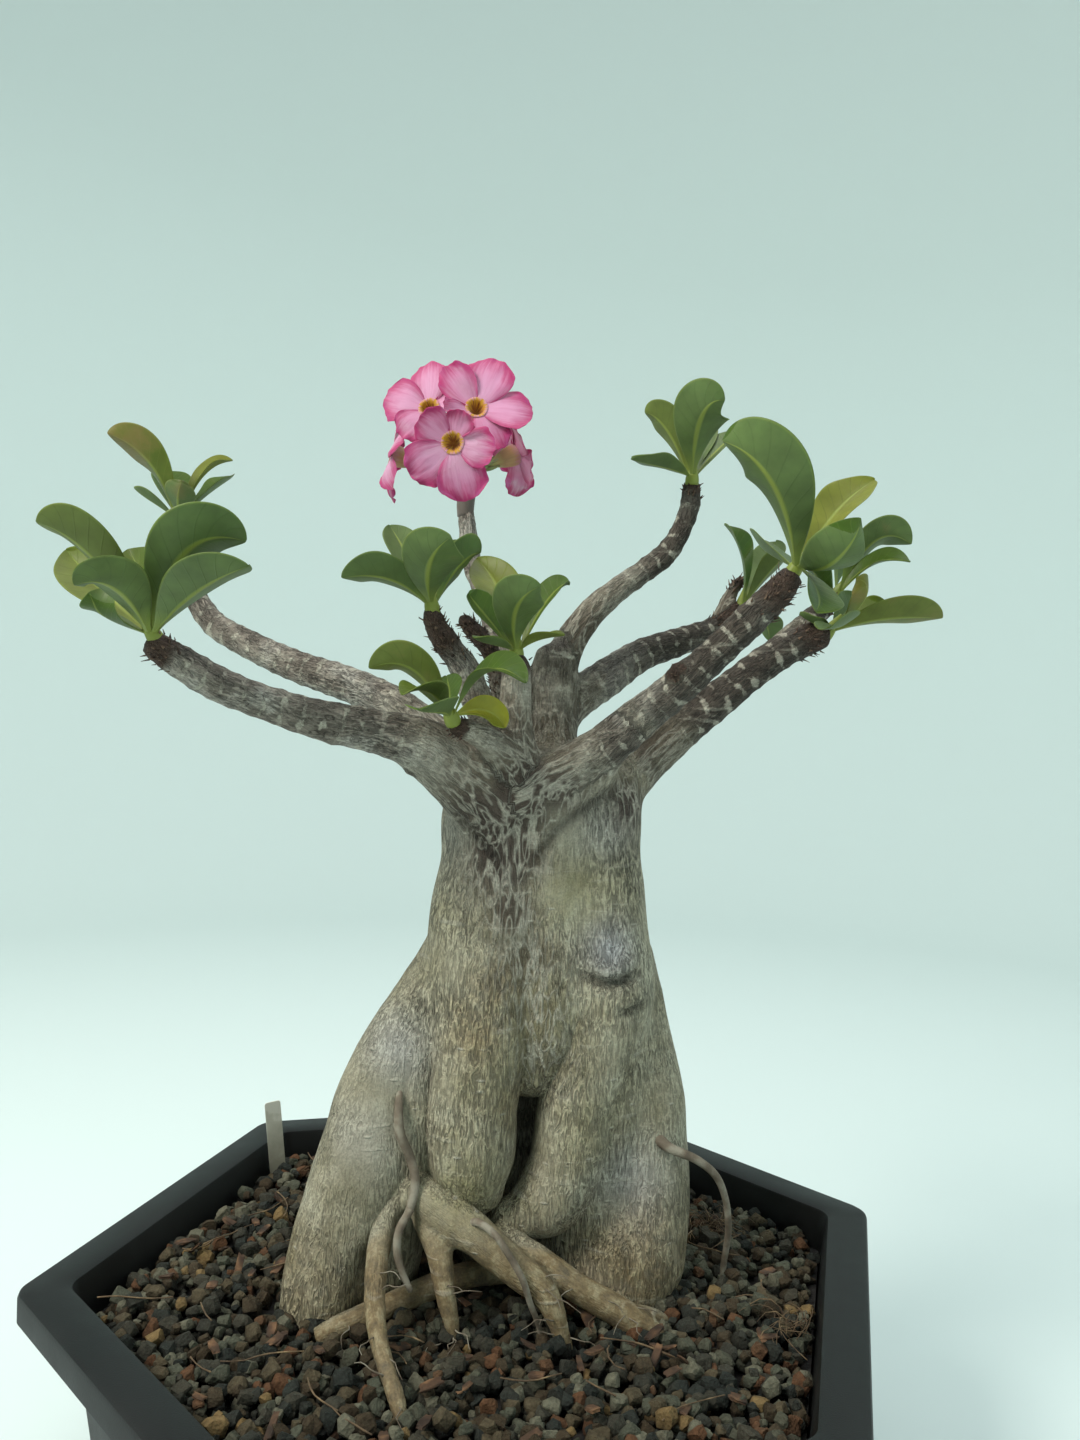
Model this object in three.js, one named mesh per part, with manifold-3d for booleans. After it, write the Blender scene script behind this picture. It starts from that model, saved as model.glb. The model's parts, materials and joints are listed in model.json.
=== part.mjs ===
// A desert rose (Adenium obesum) in a hexagonal nursery pot, in millimetres, +Z up.
// The origin is the centre of the pot's flat underside, and -Y is the side that the plant shows best.
import * as THREE from 'three';
import { mergeVertices } from 'three/addons/utils/BufferGeometryUtils.js';
import Module from 'manifold-3d';

const wasm = await Module();
wasm.setup();

// ---- Driving dimensions -------------------------------------------------------------------
const GAP = 0.4;                    // clearance between two pieces that touch
const SEED = 20611;                 // every random draw starts here

const POT = {
  height: 170,                      // rim top above the surface the pot stands on
  turn: 13.93,                      // degrees that the first corner stands round from +X
  baseApothem: 180,                 // centre to flat, outside, at the underside
  wallApothem: 200,                 // centre to flat, outside, just under the rim
  rimApothem: 225,                  // centre to flat, outside, at the rim
  rimWidth: 25.3,                   // flat top of the rim, across a side
  skirt: 19,                        // height of the rim's outer face
  floor: 4,                         // thickness of the bottom
  wall: 3,                          // thickness of the sides
  cornerRadius: 14,                 // rounding of the upright corners
  edge: 3,                          // rounding of the rim's upper edge
  drainRadius: 8,
  drainRing: 110,                   // drain holes stand this far from the centre
  drains: 6,
};

const GRAVEL = {
  level: 152,                       // mean height of the gravel
  pitch: 31,                        // from one relief stone to the next
  crown: 5.5,                       // how far a stone's top stands over the joints
  sag: 3,                           // how far the joints lie under the level
  jitter: 3.8,                      // sideways scatter of the joints
  capShare: 0.5,                    // size of a stone's flat top against its outline
};

const LEAF = { thickness: 1.1, keel: 0.42 };
const PETAL = { thickness: 0.9, wave: 1, overlap: 1.8 };
const THROAT = { radius: 7, depth: 11, wall: 0.9 };

// Trunk columns, swollen legs and hidden back legs: [x, y, z, radius] from the top down.
const TRUNK = {
  frontColumn: [[8, 8, 462, 18], [4, 7, 438, 33], [4, 4, 402, 35], [0, -2, 361, 37], [-1, -10, 321, 34],
    [-3, -16, 287, 31], [-7, -20, 250, 27], [-3, -22, 219, 22], [0, -22, 206, 14]],
  rightColumn: [[56, 14, 466, 16], [60, 12, 444, 28], [62, 10, 403, 30], [66, 6, 361, 31], [69, 0, 320, 31],
    [65, -6, 286, 29], [53, -12, 258, 25], [48, -14, 234, 23], [39, -16, 208, 24],
    [26, -18, 193, 16], [12, -18, 190, 9]],
  saddle: [[32, 12, 468, 18], [32, 8, 444, 32], [33, 6, 400, 33], [34, 4, 361, 33], [34, 0, 320, 31], [32, -2, 288, 25]],
  leftLeg: [[-12, 10, 346, 27], [-31, 2, 311, 29], [-50, -6, 283, 28], [-61, -12, 261, 27],
    [-66, -18, 233, 30], [-74, -24, 206, 29], [-84, -28, 179, 25], [-87, -30, 157, 22],
    [-87, -28, 126, 18]],
  rightLeg: [[76, 16, 347, 25], [89, 14, 298, 24], [94, 12, 262, 28], [96, 10, 226, 29],
    [97, 8, 196, 30], [90, 8, 171, 36], [86, 8, 150, 33], [87, 8, 122, 26]],
  core: [[30, 34, 470, 18], [30, 38, 446, 32], [30, 46, 400, 38], [30, 50, 350, 42], [28, 50, 300, 46],
    [24, 46, 250, 44], [20, 42, 200, 42], [18, 40, 122, 36]],
  backLeftLeg: [[16, 44, 410, 26], [0, 48, 345, 33], [-28, 52, 290, 35], [-44, 54, 240, 34], [-50, 52, 195, 34],
    [-52, 50, 160, 30], [-52, 50, 122, 24]],
  backRightLeg: [[46, 42, 420, 26], [56, 50, 355, 32], [74, 58, 300, 33], [86, 66, 250, 34], [90, 72, 205, 36],
    [88, 74, 165, 34], [86, 74, 122, 26]],
  backLeg: [[30, 56, 380, 24], [26, 74, 310, 26], [22, 88, 250, 29], [18, 98, 195, 29], [16, 100, 155, 23],
    [16, 100, 122, 16]],
};

// Bare roots that stand over the gravel and dive into it.
const ROOTS = {
  longRoot: [[-47, -30, 220, 9], [-54, -50, 196, 7], [-52, -80, 179, 6], [-45, -104, 167, 5],
    [-33, -127, 154, 4], [-29, -133, 144, 3]],
  creepingRoot: [[-47, -32, 275, 3], [-45, -37, 258, 3], [-41, -36, 240, 3], [-37, -38, 226, 3],
    [-39, -44, 212, 3], [-43, -46, 202, 2.5]],
  stoutRoot: [[-46, -24, 220, 14], [-21, -42, 211, 11], [2, -50, 198, 9], [24, -58, 185, 8],
    [38, -62, 176, 7], [46, -66, 162, 5], [49, -68, 146, 4]],
  stoutFork: [[-30, -38, 206, 9], [-20, -54, 189, 7], [-16, -62, 173, 6], [-11, -66, 154, 4],
    [-10, -67, 144, 3]],
  sideRoot: [[8, -30, 194, 9], [35, -42, 183, 7], [58, -44, 169, 7], [78, -44, 160, 7],
    [95, -44, 150, 5]],
  lyingRoot: [[-86, -67, 150, 6], [-63, -58, 157, 7], [-43, -44, 159, 7], [-24, -34, 163, 7],
    [1, -22, 165, 8], [30, -10, 161, 8]],
  archedRoot: [[-8, -48, 204, 3], [2, -59, 212, 2.5], [11, -65, 210, 2.5], [19, -69, 199, 2.5],
    [24, -70, 189, 2.5], [30, -68, 174, 2.5], [33, -64, 160, 2.5], [34, -62, 144, 2]],
  looseRoot: [[96, -4, 248, 6], [109, -19, 240, 4], [124, -20, 234, 3], [137, -16, 224, 2.5],
    [145, -10, 206, 2.5], [148, -4, 188, 2.5], [147, 6, 156, 2], [147, 7, 144, 2]],
};

// Branches from their root in the crown out to the leafy or cut end.
const BRANCHES = {
  frontLeft: [[4, -12, 436, 25], [-23, -30, 459, 20], [-37, -38, 471, 17], [-62, -46, 479, 13],
    [-88, -54, 484, 12], [-119, -64, 493, 10], [-147, -72, 504, 10], [-168, -78, 517, 9],
    [-177, -82, 523, 8]],
  backLeft: [[-1, 18, 448, 22], [-35, 30, 472, 15], [-62, 40, 492, 13], [-96, 52, 507, 12],
    [-132, 64, 518, 11], [-169, 76, 533, 10], [-199, 86, 550, 9], [-213, 92, 569, 8],
    [-224, 96, 591, 7], [-226, 98, 615, 6]],
  innerLeft: [[16, -4, 450, 18], [4, -14, 482, 12], [-6, -18, 492, 10], [-18, -26, 519, 9],
    [-26, -30, 529, 8], [-34, -34, 542, 7], [-36, -36, 548, 6]],
  darkStub: [[14, 18, 474, 10], [3, 14, 506, 7], [-2, 14, 526, 6], [-14, 16, 541, 6],
    [-22, 18, 549, 5]],
  flowering: [[22, 30, 446, 19], [15, 42, 481, 14], [0, 56, 533, 10], [-10, 66, 567, 8],
    [-17, 70, 581, 7], [-21, 72, 593, 7], [-24, 74, 613, 6.5], [-26, 74, 628, 6]],
  centreFront: [[18, -14, 450, 19], [14, -28, 492, 10], [13, -32, 511, 9], [13, -34, 522, 8]],
  shortFront: [[14, -14, 446, 20], [5, -42, 474, 11], [-7, -54, 481, 8], [-18, -63, 485, 7]],
  cutCentre: [[33, 20, 448, 23], [34, 30, 488, 17], [35, 34, 513, 16], [37, 38, 532, 14]],
  tallRight: [[36, 36, 518, 13], [48, 40, 543, 10], [64, 42, 563, 9], [89, 46, 583, 8],
    [107, 48, 598, 8], [116, 50, 613, 7], [121, 51, 629, 7], [122, 52, 643, 6]],
  backRight: [[28, 26, 456, 22], [40, 40, 492, 15], [69, 60, 515, 13], [97, 76, 534, 11],
    [124, 88, 544, 10], [150, 100, 556, 8], [164, 107, 567, 7]],
  backTwig: [[146, 98, 554, 6], [160, 112, 580, 5], [167, 118, 591, 4]],
  frontRight: [[48, -2, 440, 23], [63, -12, 468, 15], [88, -24, 493, 12], [107, -34, 510, 11],
    [127, -42, 530, 10], [146, -50, 550, 10], [157, -54, 562, 9], [163, -57, 570, 8]],
  frontScar: [[106, -33, 508, 7], [103, -44, 519, 5]],
  lowRight: [[67, 14, 440, 22], [90, 18, 461, 15], [117, 22, 486, 13], [139, 24, 504, 12],
    [162, 26, 523, 11], [186, 28, 539, 11], [203, 30, 546, 10]],
  farRight: [[152, 26, 515, 10], [172, 44, 530, 9], [190, 60, 546, 8], [210, 74, 562, 8],
    [223, 83, 573, 7]],
  underNub: [[-36, -34, 468, 9], [-46, -41, 457, 4]],
};

// Leafy tips. seat is where the leaves root, axis the way the shoot points, and each leaf is
// [tip, halfway point of its midrib, width, optional side that its upper face looks to].
const ROSETTES = {
  leaves_front_left: {
    seat: [-177, -84, 529], axis: [-0.5, -0.3, 0.8], radius: 7,
    leaves: [
      [[-227, -110, 582], [-203, -100, 572], 42, [0.3, 0.5, 0.8]],
      [[-240, -46, 577], [-217, -60, 558], 34],
      [[-196, -136, 548], [-183, -122, 553], 42, [0, 0.35, 0.9]],
      [[-204, -100, 548], [-197, -92, 539], 26],
      [[-123, -104, 576], [-152, -110, 572], 44, [-0.3, 0.6, 0.7]],
      [[-112, -140, 559], [-141, -120, 553], 38, [-0.5, 0.5, 0.7]],
      [[-215, -20, 582], [-196, -50, 557], 38],
    ],
  },
  leaves_back_left: {
    seat: [-226, 98, 621], axis: [0, 0.05, 1], radius: 5,
    leaves: [
      [[-271, 84, 675], [-241, 86, 659], 36, [0.6, 0.7, 0.4]],
      [[-191, 104, 663], [-210, 98, 654], 26, [-0.5, -0.5, 0.7]],
      [[-198, 128, 657], [-208, 112, 646], 26],
      [[-215, 70, 641], [-219, 78, 632], 24, [0, 0.9, 0.3]],
      [[-255, 92, 640], [-242, 94, 633], 22],
      [[-247, 140, 662], [-239, 122, 648], 32],
    ],
  },
  leaves_inner_left: {
    seat: [-36, -36, 553], axis: [-0.2, -0.1, 1], radius: 5,
    leaves: [
      [[-83, -60, 564], [-60, -52, 568], 32, [0.1, 0.5, 0.8]],
      [[-65, -6, 602], [-52, -20, 584], 26],
      [[-22, -78, 585], [-35, -62, 574], 38, [-0.1, 0.8, 0.5]],
      [[-10, -20, 585], [-21, -28, 580], 28, [-0.5, 0.5, 0.6]],
      [[-34, 20, 597], [-34, -4, 582], 30],
    ],
  },
  leaves_centre: {
    seat: [13, -34, 528], axis: [0, -0.1, 1], radius: 6,
    leaves: [
      [[-15, -36, 560], [-6, -36, 551], 24, [0.6, -0.6, 0.5]],
      [[-14, 12, 586], [2, -8, 565], 32, [0.1, -0.8, 0.5]],
      [[26, -74, 561], [13, -62, 551], 32, [0, 0.7, 0.6]],
      [[43, -18, 569], [30, -24, 562], 28, [-0.6, -0.5, 0.6]],
      [[-10, -62, 533], [0, -52, 532], 18],
      [[40, -54, 536], [27, -46, 536], 18],
    ],
  },
  leaves_short_front: {
    seat: [-21, -67, 490], axis: [-0.3, -0.5, 0.8], radius: 6,
    leaves: [
      [[-63, -84, 514], [-41, -78, 517], 28, [0.2, 0.6, 0.7]],
      [[20, -92, 508], [-1, -84, 517], 32, [0, -0.4, 0.9]],
      [[-42, -110, 500], [-31, -94, 505], 24],
      [[-32, -124, 493], [-25, -102, 495], 30],
      [[-26, -40, 512], [-24, -52, 504], 20],
    ],
  },
  leaves_tall_right: {
    seat: [122, 50, 648], axis: [0.05, 0, 1], radius: 5,
    leaves: [
      [[90, 50, 689], [105, 48, 680], 28, [0.5, 0.5, 0.6]],
      [[135, 8, 686], [122, 20, 679], 40, [0, 0.9, 0.4]],
      [[80, 22, 652], [101, 36, 653], 24, [0.2, 0.3, 0.9]],
      [[155, 84, 687], [140, 70, 673], 30],
      [[134, 110, 701], [128, 84, 680], 34],
    ],
  },
  leaves_front_right: {
    seat: [166, -57, 576], axis: [0.5, -0.2, 0.8], radius: 7,
    leaves: [
      [[119, -84, 638], [146, -92, 618], 46, [0.65, 0.5, 0.5]],
      [[216, -30, 631], [191, -44, 613], 30, [-0.4, -0.7, 0.5]],
      [[187, -104, 595], [175, -96, 576], 34, [0.1, 0.6, 0.8]],
      [[212, 10, 613], [192, -18, 600], 28],
      [[164, -110, 547], [172, -88, 561], 26],
      [[158, 8, 602], [160, -20, 592], 30],
    ],
  },
  leaves_back_right: {
    seat: [167, 108, 573], axis: [0.2, 0.1, 1], radius: 5,
    leaves: [
      [[151, 96, 626], [165, 92, 607], 30, [0.7, -0.5, 0.4]],
      [[193, 92, 605], [184, 98, 598], 24, [-0.3, 0.5, 0.8]],
      [[193, 140, 550], [188, 128, 565], 24],
      [[196, 140, 622], [186, 126, 606], 26],
    ],
  },
  leaves_far_right: {
    seat: [226, 85, 578], axis: [0.5, 0.3, 0.8], radius: 5,
    leaves: [
      [[273, 74, 612], [249, 78, 617], 32, [-0.2, 0.6, 0.8]],
      [[268, 60, 598], [247, 70, 600], 24, [0, -0.5, 0.8]],
      [[238, 116, 622], [232, 102, 606], 28],
      [[200, 62, 603], [209, 70, 592], 24],
    ],
  },
  leaves_low_right: {
    seat: [208, 30, 549], axis: [0.6, 0, 0.8], radius: 7,
    leaves: [
      [[215, 0, 578], [220, 5, 568], 26, [-0.7, 0.3, 0.5]],
      [[271, 8, 557], [241, 10, 559], 32, [0, 0.5, 0.85]],
      [[192, -30, 546], [204, -6, 552], 30, [0, 0.6, 0.8]],
      [[186, 18, 558], [198, 20, 554], 20],
      [[249, 50, 571], [238, 42, 562], 24],
      [[240, 76, 575], [228, 54, 566], 28],
    ],
  },
};

// Blooms: mouth of the throat, foot of the tube, and for each petal
// [degrees clockwise from up, reach from the throat's centre, width, lift of its end].
const BLOOMS = {
  bloom_left: {
    mouth: [-50, 56, 689], foot: [-45, 80, 681],
    petals: [[-5, 35, 26, 0], [-73, 33, 28, 0], [-140, 26, 22, 1], [152, 26, 20, -6], [70, 27, 20, -6]],
  },
  bloom_right: {
    mouth: [-18, 38, 685], foot: [-21, 66, 677],
    petals: [[20, 37, 30, 1], [-36, 34, 22, 3], [92, 36, 28, 1], [152, 32, 24, 0], [-112, 22, 16, 10]],
  },
  bloom_front: {
    mouth: [-31, 20, 658], foot: [-29, 50, 663],
    petals: [[-54, 25, 24, 5], [-128, 33, 28, 3], [164, 36, 29, 1], [100, 27, 24, 5], [22, 20, 18, 8]],
  },
  bloom_side: {
    mouth: [-77, 82, 664], foot: [-52, 86, 657],
    petals: [[0, 26, 22, -6], [72, 27, 22, -6], [144, 28, 22, -6], [-144, 32, 20, -9], [-72, 26, 22, -6]],
  },
  bloom_rear: {
    mouth: [6, 88, 668], foot: [-12, 80, 658],
    petals: [[10, 26, 24, -4], [82, 26, 24, -4], [154, 28, 25, -6], [-134, 27, 24, -4], [-62, 26, 24, -4]],
  },
};
const STALK_FOOT = [-26, 74, 632];

const LABEL = { width: 11.5, thickness: 1, length: 80, top: [-161, 138, 203], lean: -6, turn: 25 };

// ---- Finishes -----------------------------------------------------------------------------
const finish = (name, color, roughness) =>
  new THREE.MeshStandardMaterial({ name, color, roughness, metalness: 0 });
const FINISH = {
  pot: finish('black_polypropylene', 0x2b2e30, 0.5),
  gravel: finish('pumice_gravel', 0x5f5a50, 0.95),
  bark: finish('grey_bark', 0x8a8870, 0.8),
  leaf: finish('leaf_green', 0x4f7038, 0.45),
  petal: finish('petal_pink', 0xd67aa8, 0.6),
  throat: finish('throat_yellow', 0xb8860b, 0.6),
  stalk: finish('flower_stalk_green', 0x7c9a58, 0.6),
  label: finish('label_plastic', 0xd9d8cc, 0.5),
};

// ---- Small helpers ------------------------------------------------------------------------
const vec = (p) => new THREE.Vector3(p[0], p[1], p[2]);
const between = THREE.MathUtils.lerp;
const toRad = THREE.MathUtils.degToRad;

// A repeatable number from 0 to 1 for a pair of whole numbers.
function scatter(i, j, salt) {
  const n = Math.sin(i * 127.1 + j * 311.7 + salt * 74.7 + SEED) * 43758.5453;
  return n - Math.floor(n);
}

function geometryOf(points, faces) {
  const geometry = new THREE.BufferGeometry();
  geometry.setAttribute('position', new THREE.Float32BufferAttribute(points.flatMap((p) => [p.x, p.y, p.z]), 3));
  geometry.setIndex(faces.flat());
  return geometry;
}

function solid(geometry, tolerance = 1e-4) {
  const bare = geometry.clone();
  bare.deleteAttribute('normal');
  bare.deleteAttribute('uv');
  const merged = mergeVertices(bare, tolerance);
  return new wasm.Manifold(new wasm.Mesh({
    numProp: 3,
    vertProperties: new Float32Array(merged.attributes.position.array),
    triVerts: new Uint32Array(merged.index.array),
  }));
}

function geometryFrom(body) {
  const mesh = body.getMesh();
  const geometry = new THREE.BufferGeometry();
  geometry.setAttribute('position', new THREE.Float32BufferAttribute(mesh.vertProperties, 3));
  geometry.setIndex(Array.from(mesh.triVerts));
  return geometry;
}

const joined = (bodies) => bodies.reduce((all, one) => all.add(one));

// The largest piece of a solid, without the loose scraps and sealed pockets that cuts and joins leave.
function mainPiece(body) {
  const pieces = solid(geometryFrom(body), 1e-3).decompose();
  return pieces.reduce((best, one) => (one.volume() > best.volume() ? one : best));
}

function node(name, geometry, material) {
  const flat = geometry.index ? geometry.toNonIndexed() : geometry;
  flat.computeVertexNormals();
  const mesh = new THREE.Mesh(flat, material);
  mesh.name = name;
  return mesh;
}

// Stacks closed outlines of equal length and closes both ends with a point.
function stacked(outlines, first, last) {
  const count = outlines[0].length;
  const points = [first, ...outlines.flat(), last];
  const at = (row, i) => 1 + row * count + (i % count);
  const faces = [];
  for (let i = 0; i < count; i++) {
    faces.push([0, at(0, i + 1), at(0, i)]);
    for (let row = 0; row < outlines.length - 1; row++) {
      faces.push([at(row, i), at(row, i + 1), at(row + 1, i + 1)]);
      faces.push([at(row, i), at(row + 1, i + 1), at(row + 1, i)]);
    }
    faces.push([points.length - 1, at(outlines.length - 1, i), at(outlines.length - 1, i + 1)]);
  }
  return geometryOf(points, faces);
}

// A round limb through stations [x, y, z, radius]; grow widens it all round.
function limb(stations, sides, grow = 0) {
  const centres = stations.map(vec);
  const last = centres.length - 1;
  const outlines = [];
  let side = null;
  let heading = null;
  centres.forEach((centre, i) => {
    heading = centres[Math.min(i + 1, last)].clone().sub(centres[Math.max(i - 1, 0)]).normalize();
    if (!side) {
      side = Math.abs(heading.z) > 0.9 ? new THREE.Vector3(1, 0, 0) : new THREE.Vector3(0, 0, 1);
    }
    side = side.clone().addScaledVector(heading, -side.dot(heading)).normalize();
    const other = heading.clone().cross(side);
    const radius = stations[i][3] + grow;
    outlines.push(Array.from({ length: sides }, (_, k) => {
      const angle = (2 * Math.PI * k) / sides;
      return centre.clone().addScaledVector(side, radius * Math.cos(angle))
        .addScaledVector(other, radius * Math.sin(angle));
    }));
  });
  const startWay = centres[1].clone().sub(centres[0]).normalize();
  const first = centres[0].clone().addScaledVector(startWay, -0.3 * stations[0][3] - grow);
  const end = centres[last].clone().addScaledVector(heading, 0.5 * stations[last][3] + grow);
  return stacked(outlines, first, end);
}

// A thin blade from rows of middle points: each row holds [point, normal] pairs across it.
// Both faces are split into triangles alike, so that a waved blade never crosses itself.
function blade(rows, thickness) {
  const across = rows[0].length;
  const points = [];
  for (const lift of [0.5, -0.5]) {
    for (const row of rows) {
      for (const [point, normal] of row) points.push(point.clone().addScaledVector(normal, lift * thickness));
    }
  }
  const under = rows.length * across;
  const at = (i, j) => i * across + j;
  const faces = [];
  const quad = (a, b, c, d) => faces.push([a, b, c], [a, c, d]);
  for (let i = 0; i < rows.length - 1; i++) {
    for (let j = 0; j < across - 1; j++) {
      const [a, b, c, d] = [at(i, j), at(i + 1, j), at(i + 1, j + 1), at(i, j + 1)];
      quad(a, b, c, d);
      faces.push([a + under, c + under, b + under], [a + under, d + under, c + under]);
    }
    const [left, leftNext] = [at(i, 0), at(i + 1, 0)];
    const [right, rightNext] = [at(i, across - 1), at(i + 1, across - 1)];
    quad(left, left + under, leftNext + under, leftNext);
    quad(right, rightNext, rightNext + under, right + under);
  }
  const end = rows.length - 1;
  for (let j = 0; j < across - 1; j++) {
    quad(at(0, j), at(0, j + 1), at(0, j + 1) + under, at(0, j) + under);
    quad(at(end, j + 1), at(end, j), at(end, j) + under, at(end, j + 1) + under);
  }
  return geometryOf(points, faces);
}

// ---- Pot ----------------------------------------------------------------------------------
// A hexagon with rounded corners, apothem from centre to flat, at height z.
function hexagon(apothem, cornerRadius, z) {
  const steps = 3;
  const points = [];
  for (let corner = 0; corner < 6; corner++) {
    const middle = toRad(POT.turn + 60 * corner);
    const reach = (apothem - cornerRadius) / Math.cos(toRad(30));
    for (let step = 0; step < steps; step++) {
      const angle = middle + toRad(between(-30, 30, step / (steps - 1)));
      points.push(new THREE.Vector3(
        reach * Math.cos(middle) + cornerRadius * Math.cos(angle),
        reach * Math.sin(middle) + cornerRadius * Math.sin(angle), z));
    }
  }
  return points;
}

const innerApothem = (z) =>
  between(POT.baseApothem, POT.wallApothem, z / (POT.height - POT.skirt)) - POT.wall;

function potSolid() {
  const { height, skirt, edge, floor, wall, rimApothem, rimWidth, cornerRadius } = POT;
  const inner = cornerRadius - wall;
  const underRim = height - skirt + wall;
  const lip = rimApothem - rimWidth;
  const outlines = [
    hexagon(POT.baseApothem, cornerRadius, 0),
    hexagon(POT.wallApothem, cornerRadius, underRim),
    hexagon(rimApothem - wall, cornerRadius, underRim),
    hexagon(rimApothem - wall, cornerRadius, height - skirt),
    hexagon(rimApothem, cornerRadius, height - skirt),
    hexagon(rimApothem, cornerRadius, height - edge),
    hexagon(rimApothem - edge, cornerRadius - edge, height),
    hexagon(lip, inner - edge, height),
    hexagon(lip - 2, inner - edge, height - edge),
    hexagon(innerApothem(height - skirt), inner, height - skirt),
    hexagon(innerApothem(floor), inner, floor),
  ];
  const shell = solid(stacked(outlines, new THREE.Vector3(0, 0, 0), new THREE.Vector3(0, 0, floor)));
  const drains = Array.from({ length: POT.drains }, (_, i) => {
    const hole = new THREE.CylinderGeometry(POT.drainRadius, POT.drainRadius, 4 * floor, 10);
    const angle = toRad(POT.turn + 60 * i);
    hole.rotateX(Math.PI / 2);
    hole.translate(POT.drainRing * Math.cos(angle), POT.drainRing * Math.sin(angle), 0);
    return solid(hole);
  });
  return shell.subtract(joined(drains));
}

// ---- Gravel -------------------------------------------------------------------------------
// A field of stones on a six-sided lattice: each has a tilted three-sided top over shared joints.
function stoneField() {
  const { level, pitch, crown, sag, jitter, capShare } = GRAVEL;
  const reach = Math.ceil(POT.rimApothem * 1.1 / (pitch * Math.cos(toRad(30))));
  const side = pitch / Math.sqrt(3);
  const depth = level - POT.floor - GAP;
  const points = [];
  const faces = [];
  const known = new Map();
  const place = (x, y, make) => {
    const key = `${Math.round(x * 10)},${Math.round(y * 10)}`;
    if (!known.has(key)) {
      known.set(key, points.length);
      points.push(make(Math.round(x * 10), Math.round(y * 10)));
    }
    return known.get(key);
  };
  const rims = new Map();
  for (let row = -reach; row <= reach; row++) {
    for (let column = -reach; column <= reach; column++) {
      if (Math.abs(row + column) > reach) continue;
      const x = pitch * (column + row / 2);
      const y = pitch * row * Math.cos(toRad(30));
      const ring = Array.from({ length: 6 }, (_, k) => {
        const angle = toRad(30 + 60 * k);
        const [cornerX, cornerY] = [x + side * Math.cos(angle), y + side * Math.sin(angle)];
        return place(cornerX, cornerY, (i, j) => new THREE.Vector3(
          cornerX + jitter * (2 * scatter(i, j, 1) - 1),
          cornerY + jitter * (2 * scatter(i, j, 2) - 1),
          level - sag * scatter(i, j, 3)));
      });
      const spin = 360 * scatter(row, column, 4);
      const cap = Array.from({ length: 3 }, (_, k) => {
        const angle = toRad(30 + 120 * k + (spin % 60));
        points.push(new THREE.Vector3(
          x + capShare * side * Math.cos(angle), y + capShare * side * Math.sin(angle),
          level + crown * (0.45 + 0.9 * scatter(row * 3 + k, column, 5))));
        return points.length - 1;
      });
      faces.push(cap);
      for (let k = 0; k < 3; k++) {
        const [a, b] = [cap[k], cap[(k + 1) % 3]];
        const [p, q, r] = [ring[(2 * k) % 6], ring[(2 * k + 1) % 6], ring[(2 * k + 2) % 6]];
        faces.push([a, p, q], [a, q, b], [b, q, r]);
      }
      for (let k = 0; k < 6; k++) rims.set(`${ring[k]},${ring[(k + 1) % 6]}`, [ring[k], ring[(k + 1) % 6]]);
    }
  }
  // Walls down from the field's outer edge, then a flat bottom.
  const edges = [...rims.values()].filter(([a, b]) => !rims.has(`${b},${a}`));
  const lowered = new Map();
  const down = (i) => {
    if (!lowered.has(i)) {
      lowered.set(i, points.length);
      points.push(new THREE.Vector3(points[i].x, points[i].y, level - depth));
    }
    return lowered.get(i);
  };
  const centre = points.length;
  points.push(new THREE.Vector3(0, 0, level - depth));
  for (const [a, b] of edges) {
    faces.push([a, down(a), down(b)], [a, down(b), b], [down(b), down(a), centre]);
  }
  return solid(geometryOf(points, faces));
}

function gravelSolid(cutters) {
  const [low, high] = [POT.floor + GAP, POT.height - POT.skirt];
  const corner = POT.cornerRadius - POT.wall;
  const outlines = [low, high, POT.height + 20].map((z) =>
    hexagon(innerApothem(Math.min(z, high)) - GAP, corner, z));
  const inside = solid(stacked(outlines, new THREE.Vector3(0, 0, low), new THREE.Vector3(0, 0, POT.height + 20)));
  return mainPiece(stoneField().intersect(inside).subtract(cutters));
}

// ---- Trunk, roots and branches, all grown as one ------------------------------------------
const TRUNK_SIDES = 12;
const BRANCH_SIDES = 7;
const ROOT_SIDES = 6;

function plantSolid(grow = 0) {
  const grown = (table, sides) => Object.values(table).map((stations) => solid(limb(stations, sides, grow)));
  return joined([
    ...grown(TRUNK, TRUNK_SIDES),
    ...grown(BRANCHES, BRANCH_SIDES),
    ...grown(ROOTS, ROOT_SIDES),
  ]);
}

// ---- Leaves -------------------------------------------------------------------------------
const LEAF_STEPS = [0, 0.3, 0.6, 0.85, 1];
const LEAF_WIDTHS = [0.12, 0.56, 1, 0.76, 0.06];

// One obovate blade on an arched midrib, its halves folded up from the keel.
function leafSolid(seat, axis, leaf) {
  const [tip, halfway, width, facing] = [vec(leaf[0]), vec(leaf[1]), leaf[2], leaf[3]];
  const outward = halfway.clone().sub(seat).setZ(0).setLength(2.5);
  const root = seat.clone().add(outward);
  const control = halfway.clone().multiplyScalar(2).addScaledVector(root, -0.5).addScaledVector(tip, -0.5);
  const midrib = new THREE.QuadraticBezierCurve3(root, control, tip);
  const up = facing ? vec(facing) : axis;
  const rows = LEAF_STEPS.map((t, i) => {
    const heading = midrib.getTangent(t);
    const normal = up.clone().addScaledVector(heading, -up.dot(heading)).normalize();
    const sideways = heading.clone().cross(normal);
    const half = (width / 2) * LEAF_WIDTHS[i];
    const fold = half * Math.sin(LEAF.keel);
    const centre = midrib.getPoint(t).addScaledVector(normal, -0.6 * fold);
    return [-1, 0, 1].map((s) => {
      const point = centre.clone().addScaledVector(sideways, -s * half * Math.cos(LEAF.keel))
        .addScaledVector(normal, Math.abs(s) * fold);
      return [point, normal];
    });
  });
  return solid(blade(rows, LEAF.thickness));
}

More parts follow.
